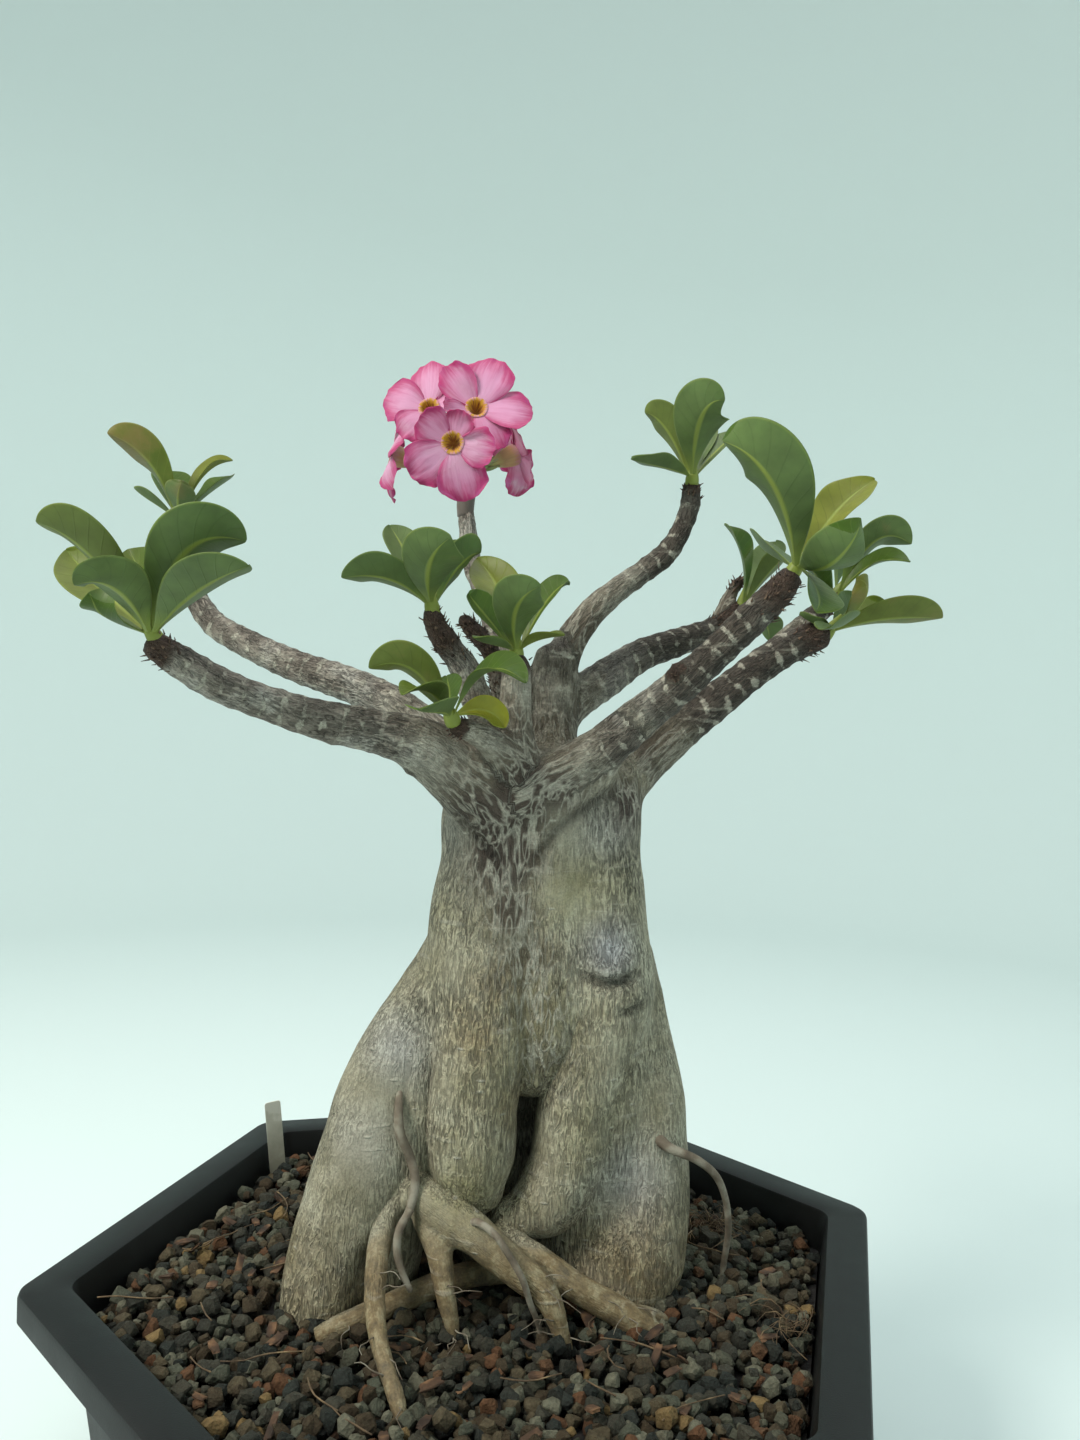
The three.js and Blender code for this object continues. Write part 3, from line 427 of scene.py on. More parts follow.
def new_piece(name, source, materials=(), smooth=True):
    """A shown object at the origin from a bmesh or a mesh."""
    mesh = as_mesh(source, name) if isinstance(source, bmesh.types.BMesh) else source
    mesh.name = name
    if smooth:
        mesh.shade_smooth()
    else:
        mesh.shade_flat()
    for material in materials:
        mesh.materials.append(material)
    piece = bpy.data.objects.new(name, mesh)
    bpy.context.scene.collection.objects.link(piece)
    return piece


def soften(piece):
    """One level of subdivision for a thin soft piece."""
    soft = piece.modifiers.new("Soft tissue", "SUBSURF")
    soft.levels = soft.render_levels = 1


def finished(piece, slot, *nodes):
    """The piece rides with the plant and stands for its nodes, whose parts it hides; its slot is
    not used.
    """
    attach(piece, "root")
    if nodes:
        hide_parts(*nodes)
    return piece


def evaluated_mesh(piece):
    """The piece's mesh with its modifiers applied; the piece itself goes."""
    graph = bpy.context.evaluated_depsgraph_get()
    mesh = bpy.data.meshes.new_from_object(piece.evaluated_get(graph))
    bpy.data.objects.remove(piece)
    return mesh


def smooth_step(low, high, value):
    """0 below low, 1 above high, smooth between them."""
    share = np.clip((value - low) / (high - low), 0, 1)
    return share * share * (3 - 2 * share)


def smooth_path(stations, spacing=4.0):
    """Rows [x, y, z, radius] every few millimetres on a smooth curve through the stations."""
    knots = np.array(stations, float)
    chords = np.linalg.norm(np.diff(knots[:, :3], axis=0), axis=1)
    places = np.concatenate([[0], np.cumsum(chords)])
    slopes = np.gradient(knots, places, axis=0)
    rows = []
    for place in np.linspace(0, places[-1], max(3, round(places[-1] / spacing) + 1)):
        i = min(np.searchsorted(places, place, side="right") - 1, len(chords) - 1)
        h = chords[i]
        t = (place - places[i]) / h
        rows.append((2 * t**3 - 3 * t**2 + 1) * knots[i] + (t**3 - 2 * t**2 + t) * h * slopes[i]
                    + (3 * t**2 - 2 * t**3) * knots[i + 1] + (t**3 - t**2) * h * slopes[i + 1])
    return np.array(rows)


def carried_frames(centres):
    """Heading and two crosswise directions at each centre, turned as little as can be."""
    headings = np.gradient(centres, axis=0)
    headings /= np.linalg.norm(headings, axis=1)[:, None]
    side = np.array([1.0, 0, 0]) if abs(headings[0][2]) > 0.8 else np.array([0, 0, 1.0])
    sides = []
    for heading in headings:
        side = side - heading * side.dot(heading)
        side = side / np.linalg.norm(side)
        sides.append(side)
    sides = np.array(sides)
    return headings, sides, np.cross(headings, sides)


def tube_mesh(path, segments, dome=0.5):
    """A closed tube through rows [x, y, z, radius], its far end domed."""
    path = np.array(path, float)
    headings, sides, others = carried_frames(path[:, :3])
    rings = [(row[:3], row[3], i) for i, row in enumerate(path)]
    last = len(path) - 1
    for lift, share in ((0.5, 0.87), (0.85, 0.52), (1, 0.12)):
        end = path[last]
        rings.append((end[:3] + headings[last] * end[3] * dome * lift, end[3] * share, last))
    bm = bmesh.new()
    before = None
    for order, (centre, radius, i) in enumerate(rings):
        place = Matrix((sides[i], others[i], headings[i])).transposed().to_4x4()
        place.translation = Vector(centre) * MM
        ring = bmesh.ops.create_circle(
            bm, cap_ends=order in (0, len(rings) - 1), segments=segments,
            radius=radius * MM, matrix=place)["verts"]
        edges = list({edge for vert in ring for edge in vert.link_edges})
        if before:
            bmesh.ops.bridge_loops(bm, edges=before + edges)
        before = edges
    bmesh.ops.recalc_face_normals(bm, faces=bm.faces[:])
    return as_mesh(bm, "tube")


# ---- Material helpers ---------------------------------------------------------------------
def as_colour(shade):
    """A linear colour from an sRGB hex code, a grey or a colour."""
    if isinstance(shade, str):
        return srgb(shade)
    return (shade, shade, shade, 1) if isinstance(shade, (int, float)) else shade


def add_node(tree, kind, inputs=None, stops=None, **settings):
    """Adds a shader node with its settings; inputs maps a socket to a value or an output."""
    node = tree.nodes.new("ShaderNode" + kind)
    for name, value in settings.items():
        setattr(node, name, value)
    for socket, value in (inputs or {}).items():
        if isinstance(value, bpy.types.NodeSocket):
            tree.links.new(value, node.inputs[socket])
        else:
            node.inputs[socket].default_value = value
    if stops:
        elements = node.color_ramp.elements
        while len(elements) < len(stops):
            elements.new(0.5)
        for element, (position, shade) in zip(elements, stops):
            element.position = position
            element.color = as_colour(shade)
    return node.outputs


def start_material(name, **values):
    """A new material with the values of its shader, and a call that adds nodes to it."""
    material = bpy.data.materials.new(name)
    material.use_nodes = True
    shader = material.node_tree.nodes["Principled BSDF"]
    for socket, value in values.items():
        shader.inputs[socket.replace("_", " ")].default_value = value
    return material, functools.partial(add_node, material.node_tree)


def finish_material(material, add, tint, height, distance, strength, **patterns):
    """Links the colour, the relief (its distance in millimetres) and what else is patterned."""
    bump = add("Bump", {"Height": height, "Distance": distance * MM, "Strength": strength})[0]
    tree = material.node_tree
    shader = tree.nodes["Principled BSDF"]
    for socket, output in {"Base Color": tint, "Normal": bump, **patterns}.items():
        tree.links.new(output, shader.inputs[socket])
    return material


def mottled_material(name, scale, stops, distance, strength, detail=3.0, grain=None, **values):
    """A finish whose colour and relief follow one noise, or its relief a finer grain."""
    material, add = start_material(name, **values)
    place = add("TexCoord")["Object"]
    patch = add("TexNoise", {"Vector": place, "Scale": scale, "Detail": detail})[0]
    tint = add("ValToRGB", {0: patch}, stops=stops)[0]
    if grain:
        patch = add("TexNoise", {"Vector": place, "Scale": grain, "Detail": detail})[0]
    return finish_material(material, add, tint, patch, distance, strength)


# ---- Finishes -----------------------------------------------------------------------------
def bark_material():
    """Living desert rose bark: thin waxy skin, matt, wrinkled along the limb."""
    c = colours()
    material, add = start_material(
        "desert_rose_bark", IOR=1.45, Roughness=0.7, Specular_IOR_Level=0.3)
    place = add("TexCoord")["Object"]
    limb, grown, skin, tints = [add("Attribute", attribute_name=name)["Vector"]
                                for name in ("limb", "grown", "skin", "tints")]
    # Painted shade: this attribute darkens the bark in the creases and in the hole between the
    # lobe and the foot.
    crease_shade = add("Attribute", attribute_name="crease_shade")["Fac"]
    (lengthwise, shoot, ring), (netted, wrinkled, scaly), (blue, ochre, green) = [
        add("SeparateXYZ", {0: vector}) for vector in (grown, skin, tints)]
    rightward, _, level = add("SeparateXYZ", {0: place})
    across, beside, _ = add("SeparateXYZ", {0: limb})

    def ridged(scale, width, distortion=1.0):
        """Lines where a noise passes its middle, so that they wander, fork and meet: upright
        on the trunk and lengthwise on branches and roots."""
        upright, along = [add("TexNoise", {
            "Vector": add("Mapping", {"Vector": source, "Scale": scale})[0], "Scale": 1.0,
            "Detail": 1.5, "Roughness": 0.5, "Distortion": distortion})[0]
            for source in (place, limb)]
        grain = add("Mix", {0: lengthwise, 2: upright, 3: along}, data_type="FLOAT")[0]
        fold = add("Math", {0: grain, 1: 0.5}, operation="SUBTRACT")[0]
        fold = add("Math", {0: fold}, operation="ABSOLUTE")[0]
        return add("ValToRGB", {0: fold}, stops=[(0, 1), (width, 0)])[0]

    # Patches some 30 mm wide, mottling of 8 mm, grit of 1 mm and places that furrows take.
    patch, mottle, fine, cracked = [
        add("TexNoise", {"Vector": place, "Scale": scale, "Detail": detail,
                         "Roughness": roughness})[0]
        for scale, detail, roughness in ((30.0, 3.0, 0.6), (125.0, 3.0, 0.6),
                                         (800.0, 2.0, 0.6), (42.0, 2.0, 0.5))]
    cracked = add("ValToRGB", {0: cracked}, stops=[(0.5, 0), (0.62, 1)])[0]
    # Pale lenticels, 4 mm wide and 1.5 mm tall, and broken pale lines round the trunk.
    seat = add("Mapping", {"Vector": place, "Scale": (80, 80, 230)})[0]
    speck = add("TexVoronoi", {"Vector": seat, "Scale": 1.0, "Randomness": 1.0})
    dot = add("ValToRGB", {0: speck["Distance"]}, stops=[(0.1, 1), (0.24, 0)])[0]
    chosen = add("SeparateColor", {0: speck["Color"]})[0]
    chosen = add("ValToRGB", {0: chosen}, stops=[(0.86, 0), (0.88, 1)])[0]
    girdle = add("Mapping", {"Vector": place, "Scale": (26, 26, 210)})[0]
    girdle = add("TexNoise", {"Vector": girdle, "Scale": 1.0, "Detail": 3.0})[0]
    girdle = add("Math", {0: mottle, 1: 0.25, 2: girdle}, operation="MULTIPLY_ADD")[0]
    girdle = add("ValToRGB", {0: girdle}, stops=[(0.75, 0), (0.85, 1)])[0]
    # Leaf scars: pale collars in rows round the young limbs, with dark cracks between them.
    uneven = add("Math", {0: mottle, 1: 0.7, 2: ring}, operation="MULTIPLY_ADD")[0]
    row, within = [add("Math", {0: uneven}, operation=part)[0] for part in ("FLOOR", "FRACT")]
    row = add("Math", {0: row, 1: 0.37}, operation="MULTIPLY")[0]
    band = add("ValToRGB", {0: within}, stops=[(0.2, 0), (0.42, 1), (0.56, 1), (0.74, 0)])[0]
    seat = add("CombineXYZ", {0: across, 1: beside, 2: row})[0]
    seat = add("Mapping", {"Vector": seat, "Scale": (120, 120, 9)})[0]
    blotch = add("TexNoise", {"Vector": seat, "Scale": 1.0, "Detail": 2.0})[0]
    broken = add("ValToRGB", {0: blotch}, stops=[(0.4, 1), (0.56, 0)])[0]
    scar = add("Math", {0: band, 1: 0.3, 2: blotch}, operation="MULTIPLY_ADD")[0]
    scar = add("Math", {0: fine, 1: 0.25, 2: scar}, operation="MULTIPLY_ADD")[0]
    scar = add("ValToRGB", {0: scar}, stops=[(0.84, 0), (1.0, 1)])[0]
    # Raised lines 3 mm apart and 12 mm long; a net of two sets of lines, 6 mm apart, on old
    # skin; dark furrows 4 mm apart and 25 mm long. Real ones are finer: these show.
    relief = ridged((370, 370, 80), 0.14, 1.2)
    net = add("Math", {0: ridged((165, 165, 40), 0.06, 0.3),
                       1: ridged((148, 156, 50), 0.06, 0.3)}, operation="MAXIMUM")[0]
    # Each of these marks only shows on its own kind of skin.
    marks = []
    for mark, skins in ((net, [netted]), (ridged((270, 270, 40), 0.07), [cracked, wrinkled]),
                        (dot, [chosen]), (scar, [shoot]), (relief, [wrinkled]),
                        (ridged((300, 300, 115), 0.06, 2.0), [broken, shoot])):
        for kind in skins:
            mark = add("Math", {0: mark, 1: kind}, operation="MULTIPLY")[0]
        marks.append(mark)
    net, furrow, dot, scar, wrinkle, crack = marks

    # How pale and how dark the marks make the bark, and their relief in millimetres. The dark sum
    # starts from the painted shade of the creases and the hole; the furrows and cracks in it are
    # the bark's own.
    sums = []
    for total, clamped, parts in (
            (0.0, True, ((net, 0.75), (dot, 0.6), (girdle, 0.3), (scar, 0.62))),
            (crease_shade, True, ((furrow, 0.7), (crack, 0.7))),
            (0.0, False, ((wrinkle, 1.3), (net, 1.2), (dot, 0.6), (scar, 0.8), (furrow, -0.9),
                          (crack, -0.8), (girdle, 0.3), (mottle, 0.8), (fine, 0.3)))):
        for mark, amount in parts:
            total = add("Math", {0: mark, 1: amount, 2: total}, operation="MULTIPLY_ADD",
                        use_clamp=clamped)[0]
        sums.append(total)
    pale, dark, height = sums

    tint = add("ValToRGB", {0: patch}, stops=[
        (0.32, "7B755F"), (0.5, c.bark_olive), (0.68, "A19D8A")])[0]
    earthy = add("ValToRGB", {0: mottle}, stops=[
        (0.32, "4E402D"), (0.5, "746040"), (0.68, "968A6C")])[0]
    neck = add("MapRange", {"Value": level, 1: 0.33, 2: 0.385, 3: 0.25, 4: 0.94})[0]
    young = add("ValToRGB", {0: patch}, stops=[
        (0.34, "5A534B"), (0.5, c.branch_brown), (0.64, "97938A")])[0]
    # The branches on the right are the darker ones.
    rightward = add("MapRange", {"Value": rightward, 1: 0.03, 2: 0.12, 3: 0.0, 4: 0.85})[0]
    young = add("Mix", {0: rightward, 6: young, 7: srgb("3B342D")}, data_type="RGBA")[2]
    dry = add("Mix", {0: mottle, 6: c.scale_brown, 7: srgb("57453A")}, data_type="RGBA")[2]
    # Ridges are paler and the furrows between them darker, most where the skin is wrinkled:
    # partly the bark's own colour, partly painted light on the ridges and painted shade in the
    # furrows.
    shade = add("ValToRGB", {0: relief}, stops=[(0.0, 0.5), (0.9, 1.7)])[0]
    calm = add("Math", {0: netted, 1: -0.75, 2: 1.0}, operation="MULTIPLY_ADD")[0]
    speckle = add("ValToRGB", {0: fine}, stops=[(0.3, 0.8), (0.7, 1.2)])[0]
    # Over the trunk's own colour: a share, how much of it counts, a colour and its blend.
    for share, amount, over, blend in (
            (green, mottle, c.bark_green, "MIX"), (ochre, 0.8, earthy, "MIX"),
            (blue, 0.7, srgb("9799A0"), "MIX"), (netted, neck, c.bark_brown, "MIX"),
            (shoot, 1.0, young, "MIX"), (wrinkled, calm, shade, "MULTIPLY"),
            (pale, 1.0, c.scar_pale, "MIX"), (dark, 0.8, srgb("1E1915"), "MIX"),
            (scaly, 1.0, dry, "MIX"), (1.0, 1.0, speckle, "MULTIPLY")):
        share = add("Math", {0: share, 1: amount}, operation="MULTIPLY")[0]
        tint = add("Mix", {0: share, 6: tint, 7: over}, data_type="RGBA", blend_type=blend)[2]
    return finish_material(material, add, tint, height, 1.0, 1.0)


def thin_root_material():
    """Dry root skin: ochre and grey in short lengths, papery and matt."""
    return mottled_material(
        "root_skin", 90.0, [(0.3, "5A5044"), (0.48, colours().root_ochre), (0.62, "8F897A")],
        0.5, 0.7, grain=900.0, IOR=1.45, Roughness=0.8)


def dry_scale_material():
    """Dry leaf bases: dead brown tissue, matt, redder where it is thin."""
    return mottled_material(
        "dry_leaf_base", 260.0,
        [(0.35, colours().scale_brown), (0.52, "4A372C"), (0.7, "86705C")],
        0.6, 0.8, IOR=1.45, Roughness=0.78)


def leaf_material(name, face, under):
    """Thick waxy leaf: a satin cuticle over green flesh, veins faint, rim and rib paler."""
    c = colours()
    material, add = start_material(
        name, IOR=1.42, Roughness=0.52 if under else 0.42, Specular_IOR_Level=0.32,
        Subsurface_Weight=0.06, Subsurface_Scale=1.5 * MM, Subsurface_Radius=(0.4, 1.0, 0.2))
    place = add("TexCoord")["Object"]
    # blade holds: across from -1 to 1, along from 0 to 1, and how yellow the leaf is.
    blade = add("Attribute", attribute_name="blade")["Vector"]
    across, along, yellow = add("SeparateXYZ", {0: blade})
    flush = add("Attribute", attribute_name="flush")["Fac"]
    side = add("Math", {0: across}, operation="ABSOLUTE")[0]
    patch = add("TexNoise", {"Vector": place, "Scale": 70.0, "Detail": 3.0,
                             "Roughness": 0.55})[0]
    tone = add("ValToRGB", {0: patch}, stops=[(0.3, 0.82), (0.72, 1.15)])[0]
    # Side veins leave the rib some 8 mm apart and bend towards the tip.
    bend = add("Math", {0: side, 1: 0.7}, operation="POWER")[0]
    phase = add("Math", {0: bend, 1: -0.19, 2: along}, operation="MULTIPLY_ADD")[0]
    phase = add("Math", {0: phase, 1: 9.0}, operation="MULTIPLY")[0]
    vein = add("Math", {0: phase, 1: 0.5}, operation="PINGPONG")[0]
    vein = add("ValToRGB", {0: vein}, stops=[(0.0, 1), (0.07, 0)])[0]
    veined = add("Math", {0: vein, 1: 0.16 if under else 0.1}, operation="MULTIPLY")[0]
    # The rib is wide at the leaf's foot and thins out towards the tip.
    rib_width = add("MapRange", {"Value": along, 1: 0.0, 2: 1.0, 3: 0.22, 4: 0.012})[0]
    rib = add("Math", {0: side, 1: rib_width}, operation="DIVIDE")[0]
    rib = add("ValToRGB", {0: rib}, stops=[(0.35, 0.85 if under else 0.55), (1.0, 0)])[0]
    rim = add("ValToRGB", {0: side}, stops=[(0.95, 0), (1.0, 0.25)])[0]
    foot = add("ValToRGB", {0: along}, stops=[(0.02, 0.75), (0.2, 0)])[0]
    paler = add("Math", {0: rib, 1: rim}, operation="MAXIMUM")[0]
    paler = add("Math", {0: paler, 1: foot}, operation="MAXIMUM")[0]
    # A brown flush breaks up towards its edges.
    burnt = add("Math", {0: patch, 1: 1.6, 2: flush}, operation="MULTIPLY_ADD")[0]
    burnt = add("MapRange", {"Value": burnt, 1: 1.1, 2: 1.7, 3: 0.0, 4: 0.5})[0]
    tint = face
    for share, over, blend in (
            (yellow, c.leaf_yellow, "MIX"), (1.0, tone, "MULTIPLY"),
            (veined, srgb("2F4220") if under else c.leaf_rib, "MIX"),
            (paler, c.leaf_rib, "MIX"), (burnt, c.leaf_flush, "MIX")):
        tint = add("Mix", {0: share, 6: tint, 7: over}, data_type="RGBA", blend_type=blend)[2]
    # The veins stand out under the leaf and lie in grooves on its upper face.
    height = 0.0
    for mark, amount in ((rib, 0.8 if under else -0.5), (vein, 0.25 if under else -0.2),
                         (patch, 0.8)):
        height = add("Math", {0: mark, 1: amount, 2: height}, operation="MULTIPLY_ADD")[0]
    return finish_material(material, add, tint, height, 0.8, 0.5)


def petal_material(name, back):
    """Petal: thin soft tissue, pale in its heart and deep pink towards a frilled edge."""
    c = colours()
    material, add = start_material(
        name, IOR=1.4, Roughness=0.62, Sheen_Weight=0.25, Sheen_Roughness=0.5,
        Subsurface_Weight=0.2, Subsurface_Scale=1.0 * MM, Subsurface_Radius=(1.0, 0.5, 0.6))
    place = add("TexCoord")["Object"]
    # blade holds: across from -1 to 1, along from 0 to 1, and the petal's own number.
    blade = add("Attribute", attribute_name="blade")["Vector"]
    across, along, own = add("SeparateXYZ", {0: blade})
    side = add("Math", {0: across}, operation="ABSOLUTE")[0]
    # Streaks that fan out from the throat.
    fan = add("CombineXYZ", {0: across, 1: along, 2: own})[0]
    fan = add("Mapping", {"Vector": fan, "Scale": (7.0, 1.3, 3.0)})[0]
    streak = add("TexNoise", {"Vector": fan, "Scale": 1.0, "Detail": 3.0, "Roughness": 0.6})[0]
    patch = add("TexNoise", {"Vector": place, "Scale": 150.0, "Detail": 2.0})[0]
    # The pink deepens towards the sides and the end, streak by streak and in patches.
    edge_side = add("Math", {0: side, 1: 2.0}, operation="POWER")[0]
    edge_end = add("Math", {0: along, 1: 2.6}, operation="POWER")[0]
    edge = 0.0
    for share, amount in ((edge_side, 0.4), (edge_end, 0.4), (streak, 0.42), (patch, 0.15)):
        edge = add("Math", {0: share, 1: amount, 2: edge}, operation="MULTIPLY_ADD")[0]
    deep = add("ValToRGB", {0: edge}, stops=[
        (0.3, 0.03), (0.42, 0.24), (0.53, 0.56), (0.62, 0.85), (0.72, 1)])[0]
    if back:
        deep = add("Math", {0: deep, 1: 0.9, 2: 0.15}, operation="MULTIPLY_ADD",
                   use_clamp=True)[0]
    tint = add("Mix", {0: deep, 6: c.petal_pale, 7: c.petal_deep}, data_type="RGBA")[2]
    return finish_material(material, add, tint, streak, 0.6, 0.6)


def throat_material():
    """Throat: velvety yellow tissue with red-brown lines that run down into it."""
    c = colours()
    material, add = start_material(
        "bloom_throat", IOR=1.4, Roughness=0.7, Sheen_Weight=0.3, Subsurface_Weight=0.1,
        Subsurface_Scale=1.0 * MM)
    # blade holds: round as two numbers of a circle, and how deep in the throat.
    blade = add("Attribute", attribute_name="blade")["Vector"]
    depth = add("SeparateXYZ", {0: blade})[2]
    ring = add("Mapping", {"Vector": blade, "Scale": (4.2, 4.2, 0.35)})[0]
    streak = add("TexNoise", {"Vector": ring, "Scale": 1.0, "Detail": 2.0})[0]
    deeper = add("Math", {0: depth, 1: 0.3, 2: streak}, operation="MULTIPLY_ADD")[0]
    tint = add("ValToRGB", {0: deeper}, stops=[
        (0.4, c.throat_yellow), (0.54, "BC881E"), (0.64, c.throat_red), (0.78, "A06A1C"),
        (1.0, "7A4814")])[0]
    # The yellow breaks up into the pink of the petals at its rim.
    rim = add("MapRange", {"Value": depth, 1: -0.12, 2: 0.1, 3: 0.9, 4: 0.0})[0]
    rim = add("Math", {0: streak, 1: 1.6, 2: rim}, operation="MULTIPLY_ADD")[0]
    rim = add("MapRange", {"Value": rim, 1: 1.4, 2: 1.75, 3: 0.0, 4: 0.9})[0]
    tint = add("Mix", {0: rim, 6: tint, 7: c.petal_pale}, data_type="RGBA")[2]
    return finish_material(material, add, tint, streak, 0.6, 0.6)


def tube_material():
    """Outside of a bloom's tube: pale greenish tissue, brown-pink where the light passes."""
    material, add = start_material(
        "bloom_tube", IOR=1.4, Roughness=0.6, Subsurface_Weight=0.15, Subsurface_Scale=1.0 * MM)
    # blade holds the same as in the throat.
    blade = add("Attribute", attribute_name="blade")["Vector"]
    depth = add("SeparateXYZ", {0: blade})[2]
    ring = add("Mapping", {"Vector": blade, "Scale": (5.0, 5.0, 0.8)})[0]
    streak = add("TexNoise", {"Vector": ring, "Scale": 1.0, "Detail": 2.0})[0]
    deeper = add("Math", {0: streak, 1: 0.35, 2: depth}, operation="MULTIPLY_ADD")[0]
    tint = add("ValToRGB", {0: deeper}, stops=[
        (0.1, "D9A7B4"), (0.4, "C8A878"), (0.7, "A98A62"), (1.0, "A9A668")])[0]
    return finish_material(material, add, tint, streak, 0.5, 0.5)


def stalk_material():
    """Flower stalk and calyx: soft green tissue with a bloom of fine hairs."""
    material, add = start_material("flower_stalk", IOR=1.42, Roughness=0.6, Sheen_Weight=0.3)
    place = add("TexCoord")["Object"]
    patch = add("TexNoise", {"Vector": place, "Scale": 160.0, "Detail": 3.0})[0]
    tint = add("ValToRGB", {0: patch}, stops=[
        (0.35, "64793F"), (0.55, colours().stalk_green), (0.75, "9C8B6A")])[0]
    # The foot of the cluster is still the branch's own brown bark.
    level = add("SeparateXYZ", {0: place})[2]
    level = add("Math", {0: patch, 1: 0.02, 2: level}, operation="MULTIPLY_ADD")[0]
    bark = add("MapRange", {"Value": level, 1: 0.652, 2: 0.662, 3: 1.0, 4: 0.0})[0]
    tint = add("Mix", {0: bark, 6: tint, 7: srgb("5A524A")}, data_type="RGBA")[2]
    return finish_material(material, add, tint, patch, 0.4, 0.5)


def pot_material():
    """Injection-moulded black polypropylene: satin, faintly grained, dusty where it is worn."""
    material, add = start_material("black_polypropylene", IOR=1.49, Specular_IOR_Level=0.3)
    place = add("TexCoord")["Object"]
    dust = add("TexNoise", {"Vector": place, "Scale": 18.0, "Detail": 5.0,
                            "Roughness": 0.65})[0]
    share = add("ValToRGB", {0: dust}, stops=[(0.42, 0), (0.75, 0.2)])[0]
    tint = add("Mix", {0: share, 6: colours().pot_black, 7: srgb("3A3B3B")},
               data_type="RGBA")[2]
    gloss = add("MapRange", {"Value": dust, 1: 0.3, 2: 0.7, 3: 0.42, 4: 0.58})[0]
    # Mould grain of 0.8 mm and rubs of some 17 mm.
    grain = add("TexNoise", {"Vector": place, "Scale": 1200.0, "Detail": 2.0})[0]
    rub = add("TexNoise", {"Vector": place, "Scale": 60.0, "Detail": 4.0})[0]
    height = add("Math", {0: rub, 1: 0.7, 2: grain}, operation="MULTIPLY_ADD")[0]
    return finish_material(material, add, tint, height, 0.25, 0.4, Roughness=gloss)


def stone_material():
    """Mixed potting gravel: pumice, lava and baked clay, all porous, dusty and matt."""
    c = colours()
    material, add = start_material(
        "potting_gravel", IOR=1.5, Roughness=0.88, Specular_IOR_Level=0.2)
    place = add("TexCoord")["Object"]
    # tone picks the kind of each stone; sunk is how much other stones cover it.
    tone, sunk = [add("Attribute", attribute_name=name)["Fac"] for name in ("tone", "sunk")]
    tint = add("ValToRGB", {0: tone}, stops=[
        (0.0, c.stone_dark), (0.2, "393830"), (0.36, c.stone_grey), (0.52, "626152"),
        (0.64, "4C4434"), (0.76, c.stone_brown), (0.9, c.stone_orange), (0.97, "74603F")])[0]
    tint.node.color_ramp.interpolation = "CONSTANT"
    # Mottling of 3 mm, and pores of half a millimetre drawn coarser so that they show.
    mottle = add("TexNoise", {"Vector": place, "Scale": 330.0, "Detail": 4.0,
                              "Roughness": 0.7})[0]
    shade = add("ValToRGB", {0: mottle}, stops=[(0.3, 0.6), (0.72, 1.35)])[0]
    dust = add("TexNoise", {"Vector": place, "Scale": 25.0, "Detail": 3.0})[0]
    dust = add("ValToRGB", {0: dust}, stops=[(0.45, 0), (0.75, 0.25)])[0]
    # Painted shade: stones are darkened where others cover them and towards their undersides.
    painted_stone_shade = add("ValToRGB", {0: sunk}, stops=[(0.1, 1), (0.95, 0.06)])[0]
    for share, over, blend in ((1.0, shade, "MULTIPLY"), (dust, srgb("5C5444"), "MIX"),
                               (1.0, painted_stone_shade, "MULTIPLY")):
        tint = add("Mix", {0: share, 6: tint, 7: over}, data_type="RGBA", blend_type=blend)[2]
    pores = add("TexVoronoi", {"Vector": place, "Scale": 700.0})["Distance"]
    height = add("Math", {0: mottle, 1: 1.5, 2: pores}, operation="MULTIPLY_ADD")[0]
    return finish_material(material, add, tint, height, 0.6, 0.8)


def bed_material():
    """Grit under the stones, dark of its own and painted darker still as the shade in the gaps
    between the stones.
    """
    return mottled_material("grit_and_gap_shade", 260.0, [(0.35, "0E0C0A"), (0.65, "1E1A16")], 2.0, 0.8,
                            detail=4.0, IOR=1.5, Roughness=0.9)


def litter_material(name, stops):
    """Dry plant litter: matt fibres that bleach in patches."""
    return mottled_material(name, 120.0, stops, 0.5, 0.6, IOR=1.45, Roughness=0.85)


def label_material():
    """Polypropylene plant label, weathered matt, its lower half stained by the soil."""
    material, add = start_material("label_polypropylene", IOR=1.49, Roughness=0.5)
    place = add("TexCoord")["Object"]
    height = add("SeparateXYZ", {0: place})[2]
    stain = add("TexNoise", {"Vector": place, "Scale": 120.0, "Detail": 4.0})[0]
    level = add("MapRange", {"Value": height, 1: 0.15, 2: 0.21, 3: 0.0, 4: 1.0})[0]
    level = add("Math", {0: stain, 1: 0.5, 2: level}, operation="MULTIPLY_ADD")[0]
    tint = add("ValToRGB", {0: level}, stops=[
        (0.4, "8E8B7C"), (0.95, colours().label_white), (1.0, "DAD9CE")])[0]
    return finish_material(material, add, tint, stain, 0.3, 0.4)


def stage_material():
    """Painted plaster: pale, matt, without any mark."""
    return start_material("pale_plaster", IOR=1.5, Roughness=0.95,
                          Base_Color=colours().backdrop)[0]


# ---- Trunk, roots and branches ------------------------------------------------------------
# Kinds of limb, and the columns of its samples.
ON_TRUNK, ON_BRANCH, ON_ROOT = 0, 1, 2
PLACE, RADIUS = slice(0, 3), 3
HEADING, SIDE, OTHER = slice(4, 7), slice(7, 10), slice(10, 13)
ALONG, LEFT, KIND, LIMB = 13, 14, 15, 16


def limb_samples(groups):
    """Fine samples of every limb's axis, each with its frame, place along it and kind."""
    names, rows = [], []
    for kind, table in groups:
        for name, stations in table.items():
            path = smooth_path(stations, 3.0)
            frames = carried_frames(path[:, :3])
            steps = np.linalg.norm(np.diff(path[:, :3], axis=0), axis=1)
            along = np.concatenate([[0], np.cumsum(steps)])
            for i, row in enumerate(path):
                rows.append([*row, *(number for axes in frames for number in axes[i]),
                             along[i], along[-1] - along[i], kind, len(names)])
            names.append(name)
    return names, np.array(rows)


